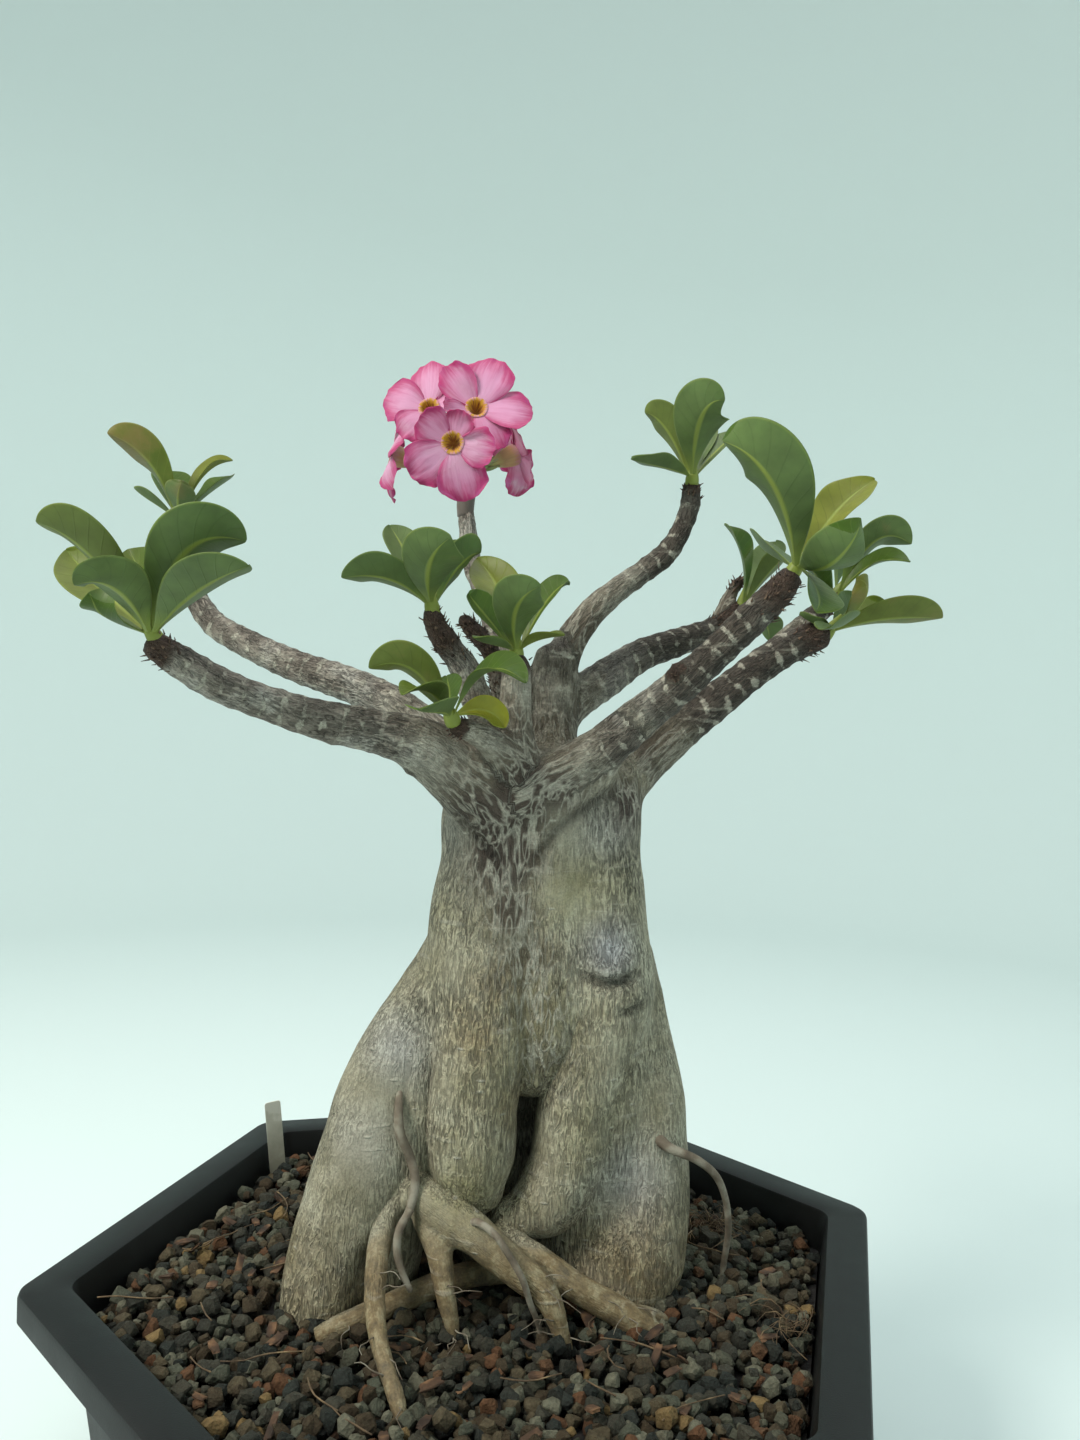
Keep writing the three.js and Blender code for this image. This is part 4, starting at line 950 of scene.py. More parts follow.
def nearest_limb(points, samples):
    """Index of the sample nearest to each point by its surface, and the gap to it in mm."""
    best, gaps = np.zeros(len(points), int), np.zeros(len(points))
    centres, radii = samples[:, PLACE], samples[:, RADIUS]
    for start in range(0, len(points), 8000):
        part = points[start:start + 8000]
        squares = (part**2).sum(1)[:, None] - 2 * part @ centres.T + (centres**2).sum(1)[None]
        away = np.sqrt(np.maximum(squares, 0)) - radii
        best[start:start + 8000] = away.argmin(1)
        gaps[start:start + 8000] = away.min(1)
    return best, gaps


def vertex_numbers(mesh, name="co"):
    """The places or the normals of a mesh's vertices."""
    values = np.zeros(len(mesh.vertices) * 3, np.float32)
    mesh.vertices.foreach_get(name, values)
    return values.reshape(-1, 3).astype(float)


def set_attribute(mesh, name, values):
    """Stores a number or a vector for every vertex."""
    vector = values.ndim == 2
    layer = mesh.attributes.new(name, "FLOAT_VECTOR" if vector else "FLOAT", "POINT")
    layer.data.foreach_set("vector" if vector else "value", values.astype(np.float32).ravel())


def noise_at(points, size, seed=0.0):
    """Smooth noise from -1 to 1 at each point, with waves of the given size."""
    shift = Vector((seed, seed * 1.7, -seed))
    return np.array([noise.noise(Vector(point) / size + shift) for point in points])


def marked(points, marks):
    """How much of each point the round marks [x, y, z, radius, strength] cover."""
    cover = np.zeros(len(points))
    for x, y, z, radius, strength in marks:
        gap = np.linalg.norm(points - [x, y, z], axis=1) / radius
        cover = np.maximum(cover, strength * np.exp(-gap**2))
    return cover


# Places on the trunk, as [x, y, z, radius, strength].
NETTED = [[11, -34, 410, 26, 1], [17, -36, 378, 17, 0.9], [12, -34, 432, 28, 1],
          [17, -30, 450, 24, 1], [-10, -32, 443, 20, 0.9], [40, -30, 448, 18, 0.8],
          [84, -10, 440, 18, 0.8], [24, -36, 350, 20, 0.8], [31, -34, 322, 20, 0.8],
          [34, -34, 296, 18, 0.7]]
SMOOTH = [[50, -28, 416, 18, 0.8], [46, -30, 388, 20, 0.9], [-6, -20, 466, 15, 1],
          [60, -28, 372, 16, 0.7], [-56, -28, 270, 26, 0.5], [-72, -34, 228, 26, 0.5],
          [-12, -46, 232, 22, 0.3], [96, -18, 262, 22, 0.5]]
WRINKLED = [[86, -16, 410, 26, 0.6], [34, -34, 330, 32, 0.5], [34, -34, 292, 26, 0.4],
            [-24, -26, 385, 26, 0.3]]
BLUE = [[72, -28, 357, 17, 1], [-48, -20, 294, 20, 0.8], [-66, -30, 246, 20, 0.5],
        [88, -24, 222, 22, 0.6], [70, -20, 425, 22, 0.5], [-28, -22, 420, 22, 0.4]]
OCHRE = [[-6, -38, 310, 20, 0.9], [6, -38, 336, 22, 0.7], [-86, -30, 166, 30, 1],
         [96, -20, 172, 30, 1], [14, -36, 268, 18, 0.6], [56, -36, 180, 24, 0.7]]
GREEN = [[35, -34, 320, 26, 1], [52, -30, 388, 24, 1], [-6, -46, 222, 26, 1],
         [20, -36, 290, 26, 0.8], [60, -34, 250, 26, 0.5]]
# The hole between the lobe and the foot, painted dark as shade.
HOLE_SHADE = [[24, -4, 262, 15, 1.3], [24, -4, 246, 15, 1.3], [22, -4, 230, 14, 1.3]]

# Creases pressed into the bark: points along one, its depth and its width, in millimetres.
# Where a point's y is None, the crease lies on the front of the skin, wherever that is.
CREASES = [
    ([[52, -28, 345], [60, -28, 340], [69, -28, 337], [80, -27, 339], [93, -20, 345]], 5.0, 3.0),
    ([[76, -28, 320], [84, -26, 321], [91, -22, 323], [99, -14, 328]], 2.8, 2.4),
    ([[50, -30, 318], [62, -30, 316], [76, -28, 318]], 0.6, 2.4),
    ([[58, -30, 372], [68, -28, 370], [80, -24, 372]], 0.8, 2.2),
    ([[-20, -30, 373], [-12, -34, 368], [-3, -36, 363], [8, -38, 361], [22, -38, 361],
      [33, -34, 362]], 1.2, 2.2),
    ([[-38, -20, 316], [-35, -26, 300], [-34, -30, 282], [-34, -33, 262]], 2.0, 2.2),
    ([[-40, -20, 340], [-42, -18, 330], [-40, -20, 320]], 1.4, 2.6),
    ([[-34, None, 444], [-20, None, 431], [-6, None, 418], [6, None, 406], [12, None, 392]],
     2.4, 3.2),
    ([[86, None, 455], [70, None, 446], [54, None, 436], [40, None, 425], [30, None, 410],
      [26, None, 394]], 2.4, 3.2),
]


def crease_depth(points):
    """Depth in mm that creases press each point in, less the swelling over them; and how much of
    the point lies in a crease, which the bark darkens as painted shade."""
    depth, cover = np.zeros(len(points)), np.zeros(len(points))
    for line, deep, wide in CREASES:
        path = smooth_path([[x, y or 0, z, 1] for x, y, z in line], 1.5)[:, :3]
        if line[0][1] is None:
            for row in path:
                beside = np.hypot(points[:, 0] - row[0], points[:, 2] - row[2]) < 3
                if beside.any():
                    row[1] = points[beside, 1].min()
        height = points[:, 2]
        near = (height > path[:, 2].min() - 25) & (height < path[:, 2].max() + 25)
        chosen = np.flatnonzero(near & (points[:, 1] < 20))
        part = points[chosen]
        gaps = np.linalg.norm(part[:, None] - path[None], axis=2)
        nearest = gaps.argmin(1)
        gap = gaps[np.arange(len(part)), nearest]
        above = part[:, 2] - path[nearest][:, 2]
        ends = np.minimum(nearest, len(path) - 1 - nearest) / (0.25 * len(path))
        fade = np.clip(ends, 0, 1)
        pressed = fade * np.exp(-(gap / wide)**2)
        swelling = np.exp(-((above - 2.2 * wide) / (1.6 * wide))**2 - (gap / (4 * wide))**2)
        depth[chosen] += deep * (pressed - 0.5 * fade * swelling)
        cover[chosen] = np.maximum(cover[chosen], min(1, deep / 3) * pressed)
    return depth, cover


def grown_skin(tables, share):
    """The limbs of some tables as one skin on a share of the grid, cut off under the stones."""
    meshes = []
    for table in tables:
        for name, stations in table.items():
            dome = 0.12 if name == "cutCentre" else 0.6
            meshes.append(tube_mesh(smooth_path(stations, 5.0), 24, dome))
    core = new_piece("grown_core", joined(meshes))
    grow = core.modifiers.new("Grown together", "REMESH")
    grow.mode = "VOXEL"
    grow.voxel_size = sizes().skin_grid * share
    bm = joined([evaluated_mesh(core)])
    cut = bmesh.ops.bisect_plane(
        bm, geom=bm.verts[:] + bm.edges[:] + bm.faces[:], plane_no=(0, 0, -1),
        plane_co=(0, 0, sizes().gravel_bed - 6 * MM), clear_outer=True)
    rim = only(bmesh.types.BMEdge, cut["geom_cut"])
    if rim:
        bmesh.ops.edgenet_fill(bm, edges=rim)
    return bm


def grow_caudex():
    """Grows the trunk, roots and branches, with the relief and marks of their bark."""
    names, samples = limb_samples((
        (ON_TRUNK, TRUNK), (ON_TRUNK, LOBE), (ON_TRUNK, FOOT), (ON_BRANCH, BRANCHES),
        (ON_ROOT, ROOTS)))
    on_trunk = samples[:, KIND] == ON_TRUNK
    trunk, limbs = samples[on_trunk], samples[~on_trunk]
    skins = []
    # Each lobe and the roots are a skin of their own, so that sharp folds stay where they meet.
    for tables, share in (((TRUNK, BRANCHES), 1), ((LOBE,), 1), ((FOOT,), 1), ((ROOTS,), 0.75)):
        bm = grown_skin(tables, share)
        points = np.array([vert.co for vert in bm.verts]) / MM
        reach = samples[nearest_limb(points, samples)[0]][:, RADIUS]
        # Thick limbs are smoothed more than thin ones, and the neck most.
        for least_radius, lowest, passes in ((0, 0, 4), (7, 0, 2), (14, 0, 4), (19, 325, 12)):
            soft = [vert for vert, radius, point in zip(bm.verts, reach, points)
                    if radius >= least_radius and point[2] > lowest]
            for _ in range(passes):
                bmesh.ops.smooth_vert(bm, verts=soft, factor=0.5, use_axis_x=True,
                                      use_axis_y=True, use_axis_z=True)
        skins.append(as_mesh(bm, "skin"))
    mesh = as_mesh(joined(skins), "caudex_skin")

    points = vertex_numbers(mesh) / MM
    normals = vertex_numbers(mesh, "normal")
    trunk_gap = nearest_limb(points, trunk)[1]
    nearest, limb_gap = nearest_limb(points, limbs)
    near = limbs[nearest]
    offset = points - near[:, PLACE]
    beyond, x, y = [(offset * near[:, axis]).sum(1) for axis in (HEADING, SIDE, OTHER)]
    along, left, limb = near[:, ALONG] + beyond, near[:, LEFT] - beyond, near[:, LIMB]
    wobble = noise_at(points, 24.0, 3.1)

    # How far each point is: on a limb and no longer on the trunk, on young wood, on a root,
    # on old netted skin, on wrinkled skin and among the dry leaf bases.
    lengthwise = smooth_step(4, 11, trunk_gap + 4 * wobble) * (limb_gap < trunk_gap + 6)
    on_branch = near[:, KIND] == ON_BRANCH
    shoot = lengthwise * on_branch * smooth_step(30, 90, along + 20 * wobble)
    root = lengthwise * ~on_branch
    netted = np.minimum(1, 1.5 * marked(points, NETTED))
    netted = np.maximum(netted, 0.8 * lengthwise * on_branch * (1 - shoot))
    netted = np.maximum(netted, 0.4 * smooth_step(420, 452, points[:, 2]) * (1 - lengthwise))
    netted *= 1 - 0.9 * marked(points, SMOOTH)
    back = smooth_step(-10, 20, points[:, 1]) * smooth_step(395, 440, points[:, 2])
    netted = np.maximum(netted, 0.8 * back * (1 - shoot))
    wrinkled = 0.62 + 0.5 * noise_at(points, 30.0, 12.4) + marked(points, WRINKLED)
    wrinkled = np.clip(wrinkled - 0.75 * marked(points, SMOOTH) - 0.6 * root, 0.12, 1)
    scaly = np.zeros(len(points))
    for name, reach in SCALY_ENDS.items():
        here = limb == names.index(name)
        scaly[here] = lengthwise[here] * (
            1 - smooth_step(0.55 * reach, reach, left[here] + 4 * wobble[here]))
    ring = along / (sizes().ring_spacing / MM) + 0.22 * wobble + 0.37 * limb

    # Relief in millimetres, along the normals.
    band = np.exp(-(((ring - np.floor(ring)) - 0.5) / 0.22)**2) - 0.4
    relief = 1.0 * noise_at(points, 34.0, 1.3) * (1 - shoot)
    relief += 0.4 * noise_at(points * [1, 1, 0.35], 8.0, 5.2) * (1 - shoot)
    relief += 0.5 * noise_at(points, 11.0, 7.7) * lengthwise
    relief += 0.5 * band * shoot * (1 - scaly)
    relief += 0.7 * scaly * noise_at(points, 4.0, 9.4)
    pressed, crease_shade = crease_depth(points)
    points += normals * (relief - pressed)[:, None]
    mesh.vertices.foreach_set("co", (points * MM).astype(np.float32).ravel())
    mesh.update()

    # Roots turn ochre as they near the stones, and the lying one is ochre all along.
    ochre = np.maximum(marked(points, OCHRE), root * smooth_step(228, 184, points[:, 2]))
    ochre = np.maximum(ochre, root * (limb == names.index("lyingRoot")))
    for name, numbers in (("limb", (x * MM, y * MM, along * MM)),
                          ("grown", (lengthwise, shoot, ring)),
                          ("skin", (netted, wrinkled, scaly)),
                          ("tints", (marked(points, BLUE), ochre, marked(points, GREEN)))):
        set_attribute(mesh, name, np.stack(numbers, axis=1))
    # Painted shade: the creases and the hole are darkened in the bark's colour.
    set_attribute(mesh, "crease_shade", np.minimum(1.25, crease_shade + marked(points, HOLE_SHADE)))
    return new_piece("caudex_and_branches", mesh, [bark_material()])


def grow_thin_roots():
    """Thin bare roots, and the hair roots at the ends of the thick ones."""
    draw = random.Random(sizes().seed + 1)
    meshes = [tube_mesh(smooth_path(wavy(stations, draw), 3.0), 10)
              for stations in THIN_ROOTS.values()]
    hairy_below = sizes().gravel_level / MM + 34
    for name in ("stoutRoot", "stoutFork", "sideRoot", "lyingRoot", "longRoot"):
        path = smooth_path(ROOTS[name], 4.0)
        lower = [row for row in path if row[2] < hairy_below]
        for _ in range(HAIRS_PER_ROOT):
            foot = np.array(draw.choice(lower))
            turn = draw.uniform(0, 2 * math.pi)
            rise = draw.uniform(0.1, 0.9)
            way = np.array([math.cos(turn), -abs(math.sin(turn)), rise])
            stations = [[*(foot[:3] + way * foot[3] * 0.6), 0.5]]
            for step in range(1, 5):
                drop = 0.5 * step * step
                spread = foot[3] * 0.6 + 4.2 * step
                bend = np.array([draw.uniform(-2, 2), draw.uniform(-2, 2), -drop])
                stations.append([*(foot[:3] + way * spread + bend), 0.45 - 0.07 * step])
            meshes.append(tube_mesh(smooth_path(stations, 3.0), 5))
    return new_piece("thin_roots", joined(meshes), [thin_root_material()])


def wavy(stations, draw):
    """The stations of a root, each thrown a little off its line."""
    return [[x + draw.uniform(-0.8, 0.8), y + draw.uniform(-0.8, 0.8), z, radius]
            for x, y, z, radius in stations]


def scale_prototype(draw):
    """One dry leaf base: a small torn flake that stands up at its end."""
    bm = bmesh.new()
    bmesh.ops.create_cone(bm, cap_ends=True, segments=5, radius1=0.5, radius2=0.12, depth=1.0)
    bmesh.ops.translate(bm, verts=bm.verts[:], vec=(0, 0, 0.5))
    for vert in bm.verts:
        vert.co.x += draw.uniform(-0.1, 0.1) + 0.28 * vert.co.z
        vert.co.y *= 0.8
    return as_mesh(bm, "flake")


def copies(prototypes, places):
    """One bmesh with a copy of a prototype at each (prototype number, matrix)."""
    bm = bmesh.new()
    for number, matrix in places:
        mesh = prototypes[number].copy()
        mesh.transform(matrix)
        bm.from_mesh(mesh)
        bpy.data.meshes.remove(mesh)
    return bm


def grow_scales():
    """Dry leaf bases and bristles that crowd the last stretch of each branch."""
    draw = random.Random(sizes().seed + 2)
    flakes = [scale_prototype(draw) for _ in range(6)]
    places = []
    for name, reach in SCALY_ENDS.items():
        path = smooth_path(BRANCHES[name], 1.0)
        headings, sides, others = carried_frames(path[:, :3])
        for _ in range(round(reach * SCALES_PER_MM)):
            i = len(path) - 1 - min(int(draw.uniform(0, reach)), len(path) - 2)
            turn = draw.uniform(0, 2 * math.pi)
            out = Vector(sides[i] * math.cos(turn) + others[i] * math.sin(turn))
            lean = (out + Vector(headings[i]) * draw.uniform(0.7, 1.8)).normalized()
            across = lean.cross(out)
            across = across.normalized() if across.length > 0.1 else Vector((0, 1, 0))
            width = draw.uniform(1.4, 2.8)
            tall = draw.uniform(1.6, 3.4) if draw.random() < 0.85 else draw.uniform(3.5, 5)
            foot = Vector(path[i][:3]) + out * (path[i][3] - 0.6)
            turned = Matrix((across.cross(lean), across, lean)).transposed().to_4x4()
            stretch = Matrix.Diagonal((width * 0.45, width, tall, 1))
            places.append((draw.randrange(len(flakes)),
                           Matrix.Scale(MM, 4) @ Matrix.Translation(foot) @ turned @ stretch))
    bm = copies(flakes, places)
    bpy.data.batch_remove(flakes)
    return new_piece("dry_leaf_bases", bm, [dry_scale_material()])


# ---- Leaves -------------------------------------------------------------------------------
LEAF_KEEL = 0.42                    # radians that each half is folded up from the rib


def leaf_half_width(t):
    """Half width of an obovate blade at t from 0 to 1, as a share of its widest place."""
    body = math.sin(math.pi * min(t, 1) ** 1.36) ** 0.72
    return max(body, 0.1 if t < 0.2 else 0.02)


def grow_leaf(leaf, seat, axis, draw):
    """One closed blade: across the rib and along it on a grid, arched, folded and waved."""
    tip, halfway = Vector(leaf[0]), Vector(leaf[1])
    width, facing, flush, yellow = leaf[2:]
    outward = halfway - seat
    outward.z = 0
    root = seat + outward.normalized() * 2.5
    control = 2 * halfway - 0.5 * root - 0.5 * tip
    upward = Vector(facing) if facing else axis
    wave, waves, phase = draw.uniform(0.3, 1.3), draw.uniform(1.2, 2.4), draw.uniform(0, 6)
    skew = draw.uniform(-0.06, 0.06)

    def rib_heading(t):
        """Where the midrib heads at t from 0 to 1, on its curve from root to tip."""
        return 2 * (1 - t) * (control - root) + 2 * t * (tip - control)

    bm = bmesh.new()
    blade = bm.verts.layers.float_vector.new("blade")
    flushed = bm.verts.layers.float.new("flush")
    for vert in bmesh.ops.create_grid(bm, x_segments=10, y_segments=22, size=0.5)["verts"]:
        s, t = 2 * vert.co.x, vert.co.y + 0.5
        t = 1 - (1 - t) ** 1.25
        heading = rib_heading(t).normalized()
        centre = (1 - t) ** 2 * root + 2 * t * (1 - t) * control + t * t * tip
        normal = (upward - heading * upward.dot(heading)).normalized()
        sideways = heading.cross(normal)
        half = width / 2 * leaf_half_width(t) * (1 + skew * s)
        fold = half * math.sin(LEAF_KEEL)
        lift = fold * abs(s) ** 1.25 - 0.6 * fold
        lift += wave * s * abs(s) * math.sin(waves * 2 * math.pi * t + phase + (s > 0)) * t
        point = centre - sideways * s * half * math.cos(LEAF_KEEL) + normal * lift
        vert.co = point * MM
        vert[blade] = (s, t, min(1, yellow + draw.uniform(0, 0.02)))
        vert[flushed] = flush * min(1, max(0, (t - 0.15) / 0.4))
    bmesh.ops.solidify(bm, geom=bm.faces[:], thickness=sizes().leaf_thickness)
    bmesh.ops.recalc_face_normals(bm, faces=bm.faces[:])
    for face in bm.faces:
        heading = rib_heading(sum(vert[blade][1] for vert in face.verts) / len(face.verts))
        normal = upward - heading * upward.dot(heading) / heading.length_squared
        face.material_index = 0 if face.normal.dot(normal) > 0 else 1
    return as_mesh(bm, "leaf")


def grow_rosette(name, rosette, materials):
    """The leaves of one shoot and the green end that they grow from."""
    draw = random.Random(f"{name}{sizes().seed}")
    seat, axis = Vector(rosette["seat"]), Vector(rosette["axis"]).normalized()
    meshes = [grow_leaf(leaf, seat, axis, draw) for leaf in rosette["leaves"]]
    bud = [[*(seat + axis * place), radius]
           for place, radius in ((-7, 4.6), (-2, 4.6), (3, 3.4), (8, 2.0), (12, 1.0))]
    bm = joined([tube_mesh(smooth_path(bud, 2.0), 12)])
    blade = bm.verts.layers.float_vector.new("blade")
    flushed = bm.verts.layers.float.new("flush")
    for vert in bm.verts:
        vert[blade] = (0, 0.02, 0.2)
        vert[flushed] = 0
    meshes.append(as_mesh(bm, "shoot"))
    piece = new_piece(name.replace("leaves", "leafy_tip"), joined(meshes), materials)
    soften(piece)
    return finished(piece, "leaf", name)


# ---- Blooms -------------------------------------------------------------------------------
def bloom_axes(bloom):
    """Out of the mouth, up across the face, and to the right as seen from the front."""
    out = (Vector(bloom["mouth"]) - Vector(bloom["foot"])).normalized()
    up = (UP - out * out.z).normalized()
    return out, up, up.cross(out)


def petal_half_width(t):
    """Half width of a petal at t from 0 to 1, as a share of its widest place."""
    rise = math.sin(math.pi / 2 * min(1, 0.16 + t / 0.72))
    return 0.22 + 0.8 * rise - 0.22 * max(0, t - 0.75) / 0.25


def grow_petal(bloom, petal, order, draw):
    """One closed petal, overlapping the next like a pinwheel, with a frilled edge."""
    degrees, reach, width, lift = petal
    out, up, right = bloom_axes(bloom)
    mouth = Vector(bloom["mouth"])
    angle = math.radians(degrees)
    along = up * math.cos(angle) + right * math.sin(angle)
    sideways = out.cross(along)
    start = sizes().throat_radius / MM - 0.8
    bm = bmesh.new()
    blade = bm.verts.layers.float_vector.new("blade")
    offset = draw.uniform(0, 50)
    for vert in bmesh.ops.create_grid(bm, x_segments=14, y_segments=14, size=0.5)["verts"]:
        s, t = 2 * vert.co.x, vert.co.y + 0.5
        half = 0.54 * width * petal_half_width(t)
        # The end is round with a small point, and its rim is frilled.
        rounding = 1 - 0.2 * t**3 * abs(s) ** 2.6 + 0.02 * t**4 * math.exp(-(s / 0.16)**2)
        rim = max(abs(s) ** 6, t**8)
        frill = noise.noise(Vector((s * 8, t * 8, offset)))
        ruffle = noise.noise(Vector((s * 2.6, t * 2.6, offset + 9)))
        length_here = (start + (reach - start) * t * rounding) + 1.5 * frill * rim
        wave = t * (0.9 if s == 0 else 1) * math.sin(1.1 * order + 2.4 * t + 1.2 * s)
        rise = lift * t * t + 1.5 * math.sin(math.pi * t) + wave
        rise -= s * 1.8 * math.sin(math.pi * min(t, 0.6))
        rise += 2.2 * ruffle * rim + 0.9 * ruffle * t
        point = (mouth + along * length_here + sideways * s * (half + 1.1 * frill * rim)
                 + out * rise)
        vert.co = point * MM
        vert[blade] = (s, t, order + 0.37 * offset)
    bmesh.ops.solidify(bm, geom=bm.faces[:], thickness=sizes().petal_thickness)
    bmesh.ops.recalc_face_normals(bm, faces=bm.faces[:])
    for face in bm.faces:
        face.material_index = 0 if face.normal.dot(out) > 0 else 1
    return as_mesh(bm, "petal")


def spun_tube(bloom, profile, material_index, steps=28):
    """A shell of revolution about the bloom's axis from [distance before the mouth, radius]."""
    out, up, right = bloom_axes(bloom)
    bm = bmesh.new()
    verts = [bm.verts.new((radius * MM, 0, place * MM)) for place, radius in profile]
    edges = [bm.edges.new(pair) for pair in zip(verts, verts[1:])]
    bmesh.ops.spin(bm, geom=verts + edges, axis=(0, 0, 1), cent=(0, 0, 0), steps=steps,
                   angle=2 * math.pi, use_merge=True)
    bmesh.ops.remove_doubles(bm, verts=bm.verts[:], dist=0.01 * MM)
    bmesh.ops.recalc_face_normals(bm, faces=bm.faces[:])
    blade = bm.verts.layers.float_vector.new("blade")
    lowest = min(place for place, _ in profile)
    for vert in bm.verts:
        flat = Vector((vert.co.x, vert.co.y))
        round_it = flat.normalized() if flat.length > 0.1 * MM else flat
        vert[blade] = (round_it.x, round_it.y, vert.co.z / (lowest * MM))
    place = Matrix((right, up, out)).transposed().to_4x4()
    place.translation = Vector(bloom["mouth"]) * MM
    bmesh.ops.transform(bm, matrix=place, verts=bm.verts[:])
    for face in bm.faces:
        face.material_index = material_index
    return as_mesh(bm, "tube")


def grow_bloom(name, bloom, materials):
    """Five petals on their tube, and the throat that lines it."""
    draw = random.Random(f"{name}{sizes().seed}")
    radius = sizes().throat_radius / MM
    span = (Vector(bloom["mouth"]) - Vector(bloom["foot"])).length
    petals = [grow_petal(bloom, petal, order, draw)
              for order, petal in enumerate(bloom["petals"])]
    tube = spun_tube(bloom, [
        (-span, 0), (-span, 2.2), (-0.75 * span, 3), (-14, 4.6), (-9, 6.2), (-4, 7.4),
        (0, radius + 1.2), (0.9, radius + 0.9), (0.2, radius + 0.1), (-4, 6.4), (-8, 5.2),
        (-10.4, 3.6), (-10.4, 0)], 2)
    corolla = new_piece(name.replace("bloom", "corolla"), joined([*petals, tube]),
                        materials[:3])
    soften(corolla)
    finished(corolla, "petal", name)
    lining = spun_tube(bloom, [
        (-9.9, 0), (-9.9, 2.6), (-7.8, 3.9), (-4, 5.0), (0.3, radius - 0.3),
        (0.8, radius + 1.1), (1.0, radius + 0.9), (0.4, radius - 0.9), (-2.5, 4.2),
        (-5.0, 2.6), (-6.4, 1.2), (-6.4, 0)], 0)
    throat = new_piece(name.replace("bloom", "yellow_throat"), lining, materials[3:])
    finished(throat, "throat", name.replace("bloom", "throat"))


def grow_stalks():
    """Stalks and five-lobed calyxes under the blooms."""
    foot = Vector(STALK_FOOT)
    meshes = [tube_mesh(smooth_path([[-26, 74, 622, 5.4], [-26, 74, 631, 6.0],
                                     [-25, 74, 640, 5.6], [-25, 74, 648, 3.6]], 2.0), 16)]
    for bloom in BLOOMS.values():
        out, up, right = bloom_axes(bloom)
        top = Vector(bloom["foot"])
        calyx = top - out * 6
        bend = foot.lerp(calyx, 0.5) + Vector((0, 0, 3))
        stations = [[*foot, 1.8], [*bend, 1.5], [*calyx, 2.0], [*(top - out * 1.6), 2.9]]
        meshes.append(tube_mesh(smooth_path(stations, 2.5), 10, 0.3))
        for lobe in range(5):
            turn = 2 * math.pi * lobe / 5
            side = up * math.cos(turn) + right * math.sin(turn)
            sepal = [[*(top - out * 3 + side * 2.2), 1.3], [*(top + out * 1.5 + side * 3.4), 1.2],
                     [*(top + out * 7 + side * 4.0), 0.4]]
            meshes.append(tube_mesh(smooth_path(sepal, 2.0), 6))
    piece = new_piece("flower_stems", joined(meshes), [stalk_material()])
    return finished(piece, "stalk", "flower_stalks")


# ---- Gravel and litter --------------------------------------------------------------------
POT_TURN = math.radians(13.93)      # how far round from +X the pot's first corner stands
HEXAGON_TURN = POT_TURN + math.radians(30)     # the same from a circle's own first corner
WALL_APOTHEM = 196.0                # inside of the wall at the gravel, in millimetres
BED_FOOT, BED_TOP = 178, 195        # half widths of the grit bed, in millimetres
BED_FLOOR = 4.4                     # its underside over the pot's, in millimetres
HEAP_CELL, HEAP_HALF = 1.6, 240.0   # cell and half width of the heap's heights, in millimetres
STONE_HEIGHT = 0.72                 # a laid stone's height as a share of its length
STRAWS, BARK_CHIPS, TUFT_FIBRES = 46, 90, 46
COIR_TUFTS = [[176, -56], [150, 60], [-110, 120]]


def flat_distance(x, y):
    """Distance in millimetres from the pot's centre across its nearest flat side."""
    return max(x * math.cos(POT_TURN + math.radians(30 + 60 * k))
               + y * math.sin(POT_TURN + math.radians(30 + 60 * k)) for k in range(6))


def plant_circles(level):
    """Circles [x, y, radius] that the trunk and roots fill at a height."""
    circles = []
    for table in (TRUNK, ROOTS):
        for stations in table.values():
            for row in smooth_path(stations, 3.0):
                gap = abs(row[2] - level)
                if gap < row[3]:
                    circles.append((row[0], row[1], math.sqrt(row[3]**2 - gap**2)))
    return circles


def stone_prototype(draw):
    """A crushed stone a unit long: a bevelled block, thrown out of true and cut by planes."""
    bm = bmesh.new()
    bmesh.ops.create_cube(bm, size=1)
    bmesh.ops.bevel(bm, geom=bm.edges[:], offset=draw.uniform(0.1, 0.22), segments=1,
                    profile=0.5, affect="EDGES", material=-1)
    for vert in bm.verts:
        vert.co += Vector([draw.uniform(-0.08, 0.08) for _ in range(3)])
        vert.co.z *= 0.74
        vert.co.y *= 0.84
    for _ in range(4):
        normal = Vector([draw.gauss(0, 1) for _ in range(3)]).normalized()
        cut = bmesh.ops.bisect_plane(bm, geom=bm.verts[:] + bm.edges[:] + bm.faces[:],
                                     plane_co=normal * draw.uniform(0.32, 0.44),
                                     plane_no=normal, clear_outer=True)
        rim = only(bmesh.types.BMEdge, cut["geom_cut"])
        if rim:
            bmesh.ops.contextual_create(bm, geom=rim)
    bmesh.ops.recalc_face_normals(bm, faces=bm.faces[:])
    return as_mesh(bm, "stone")


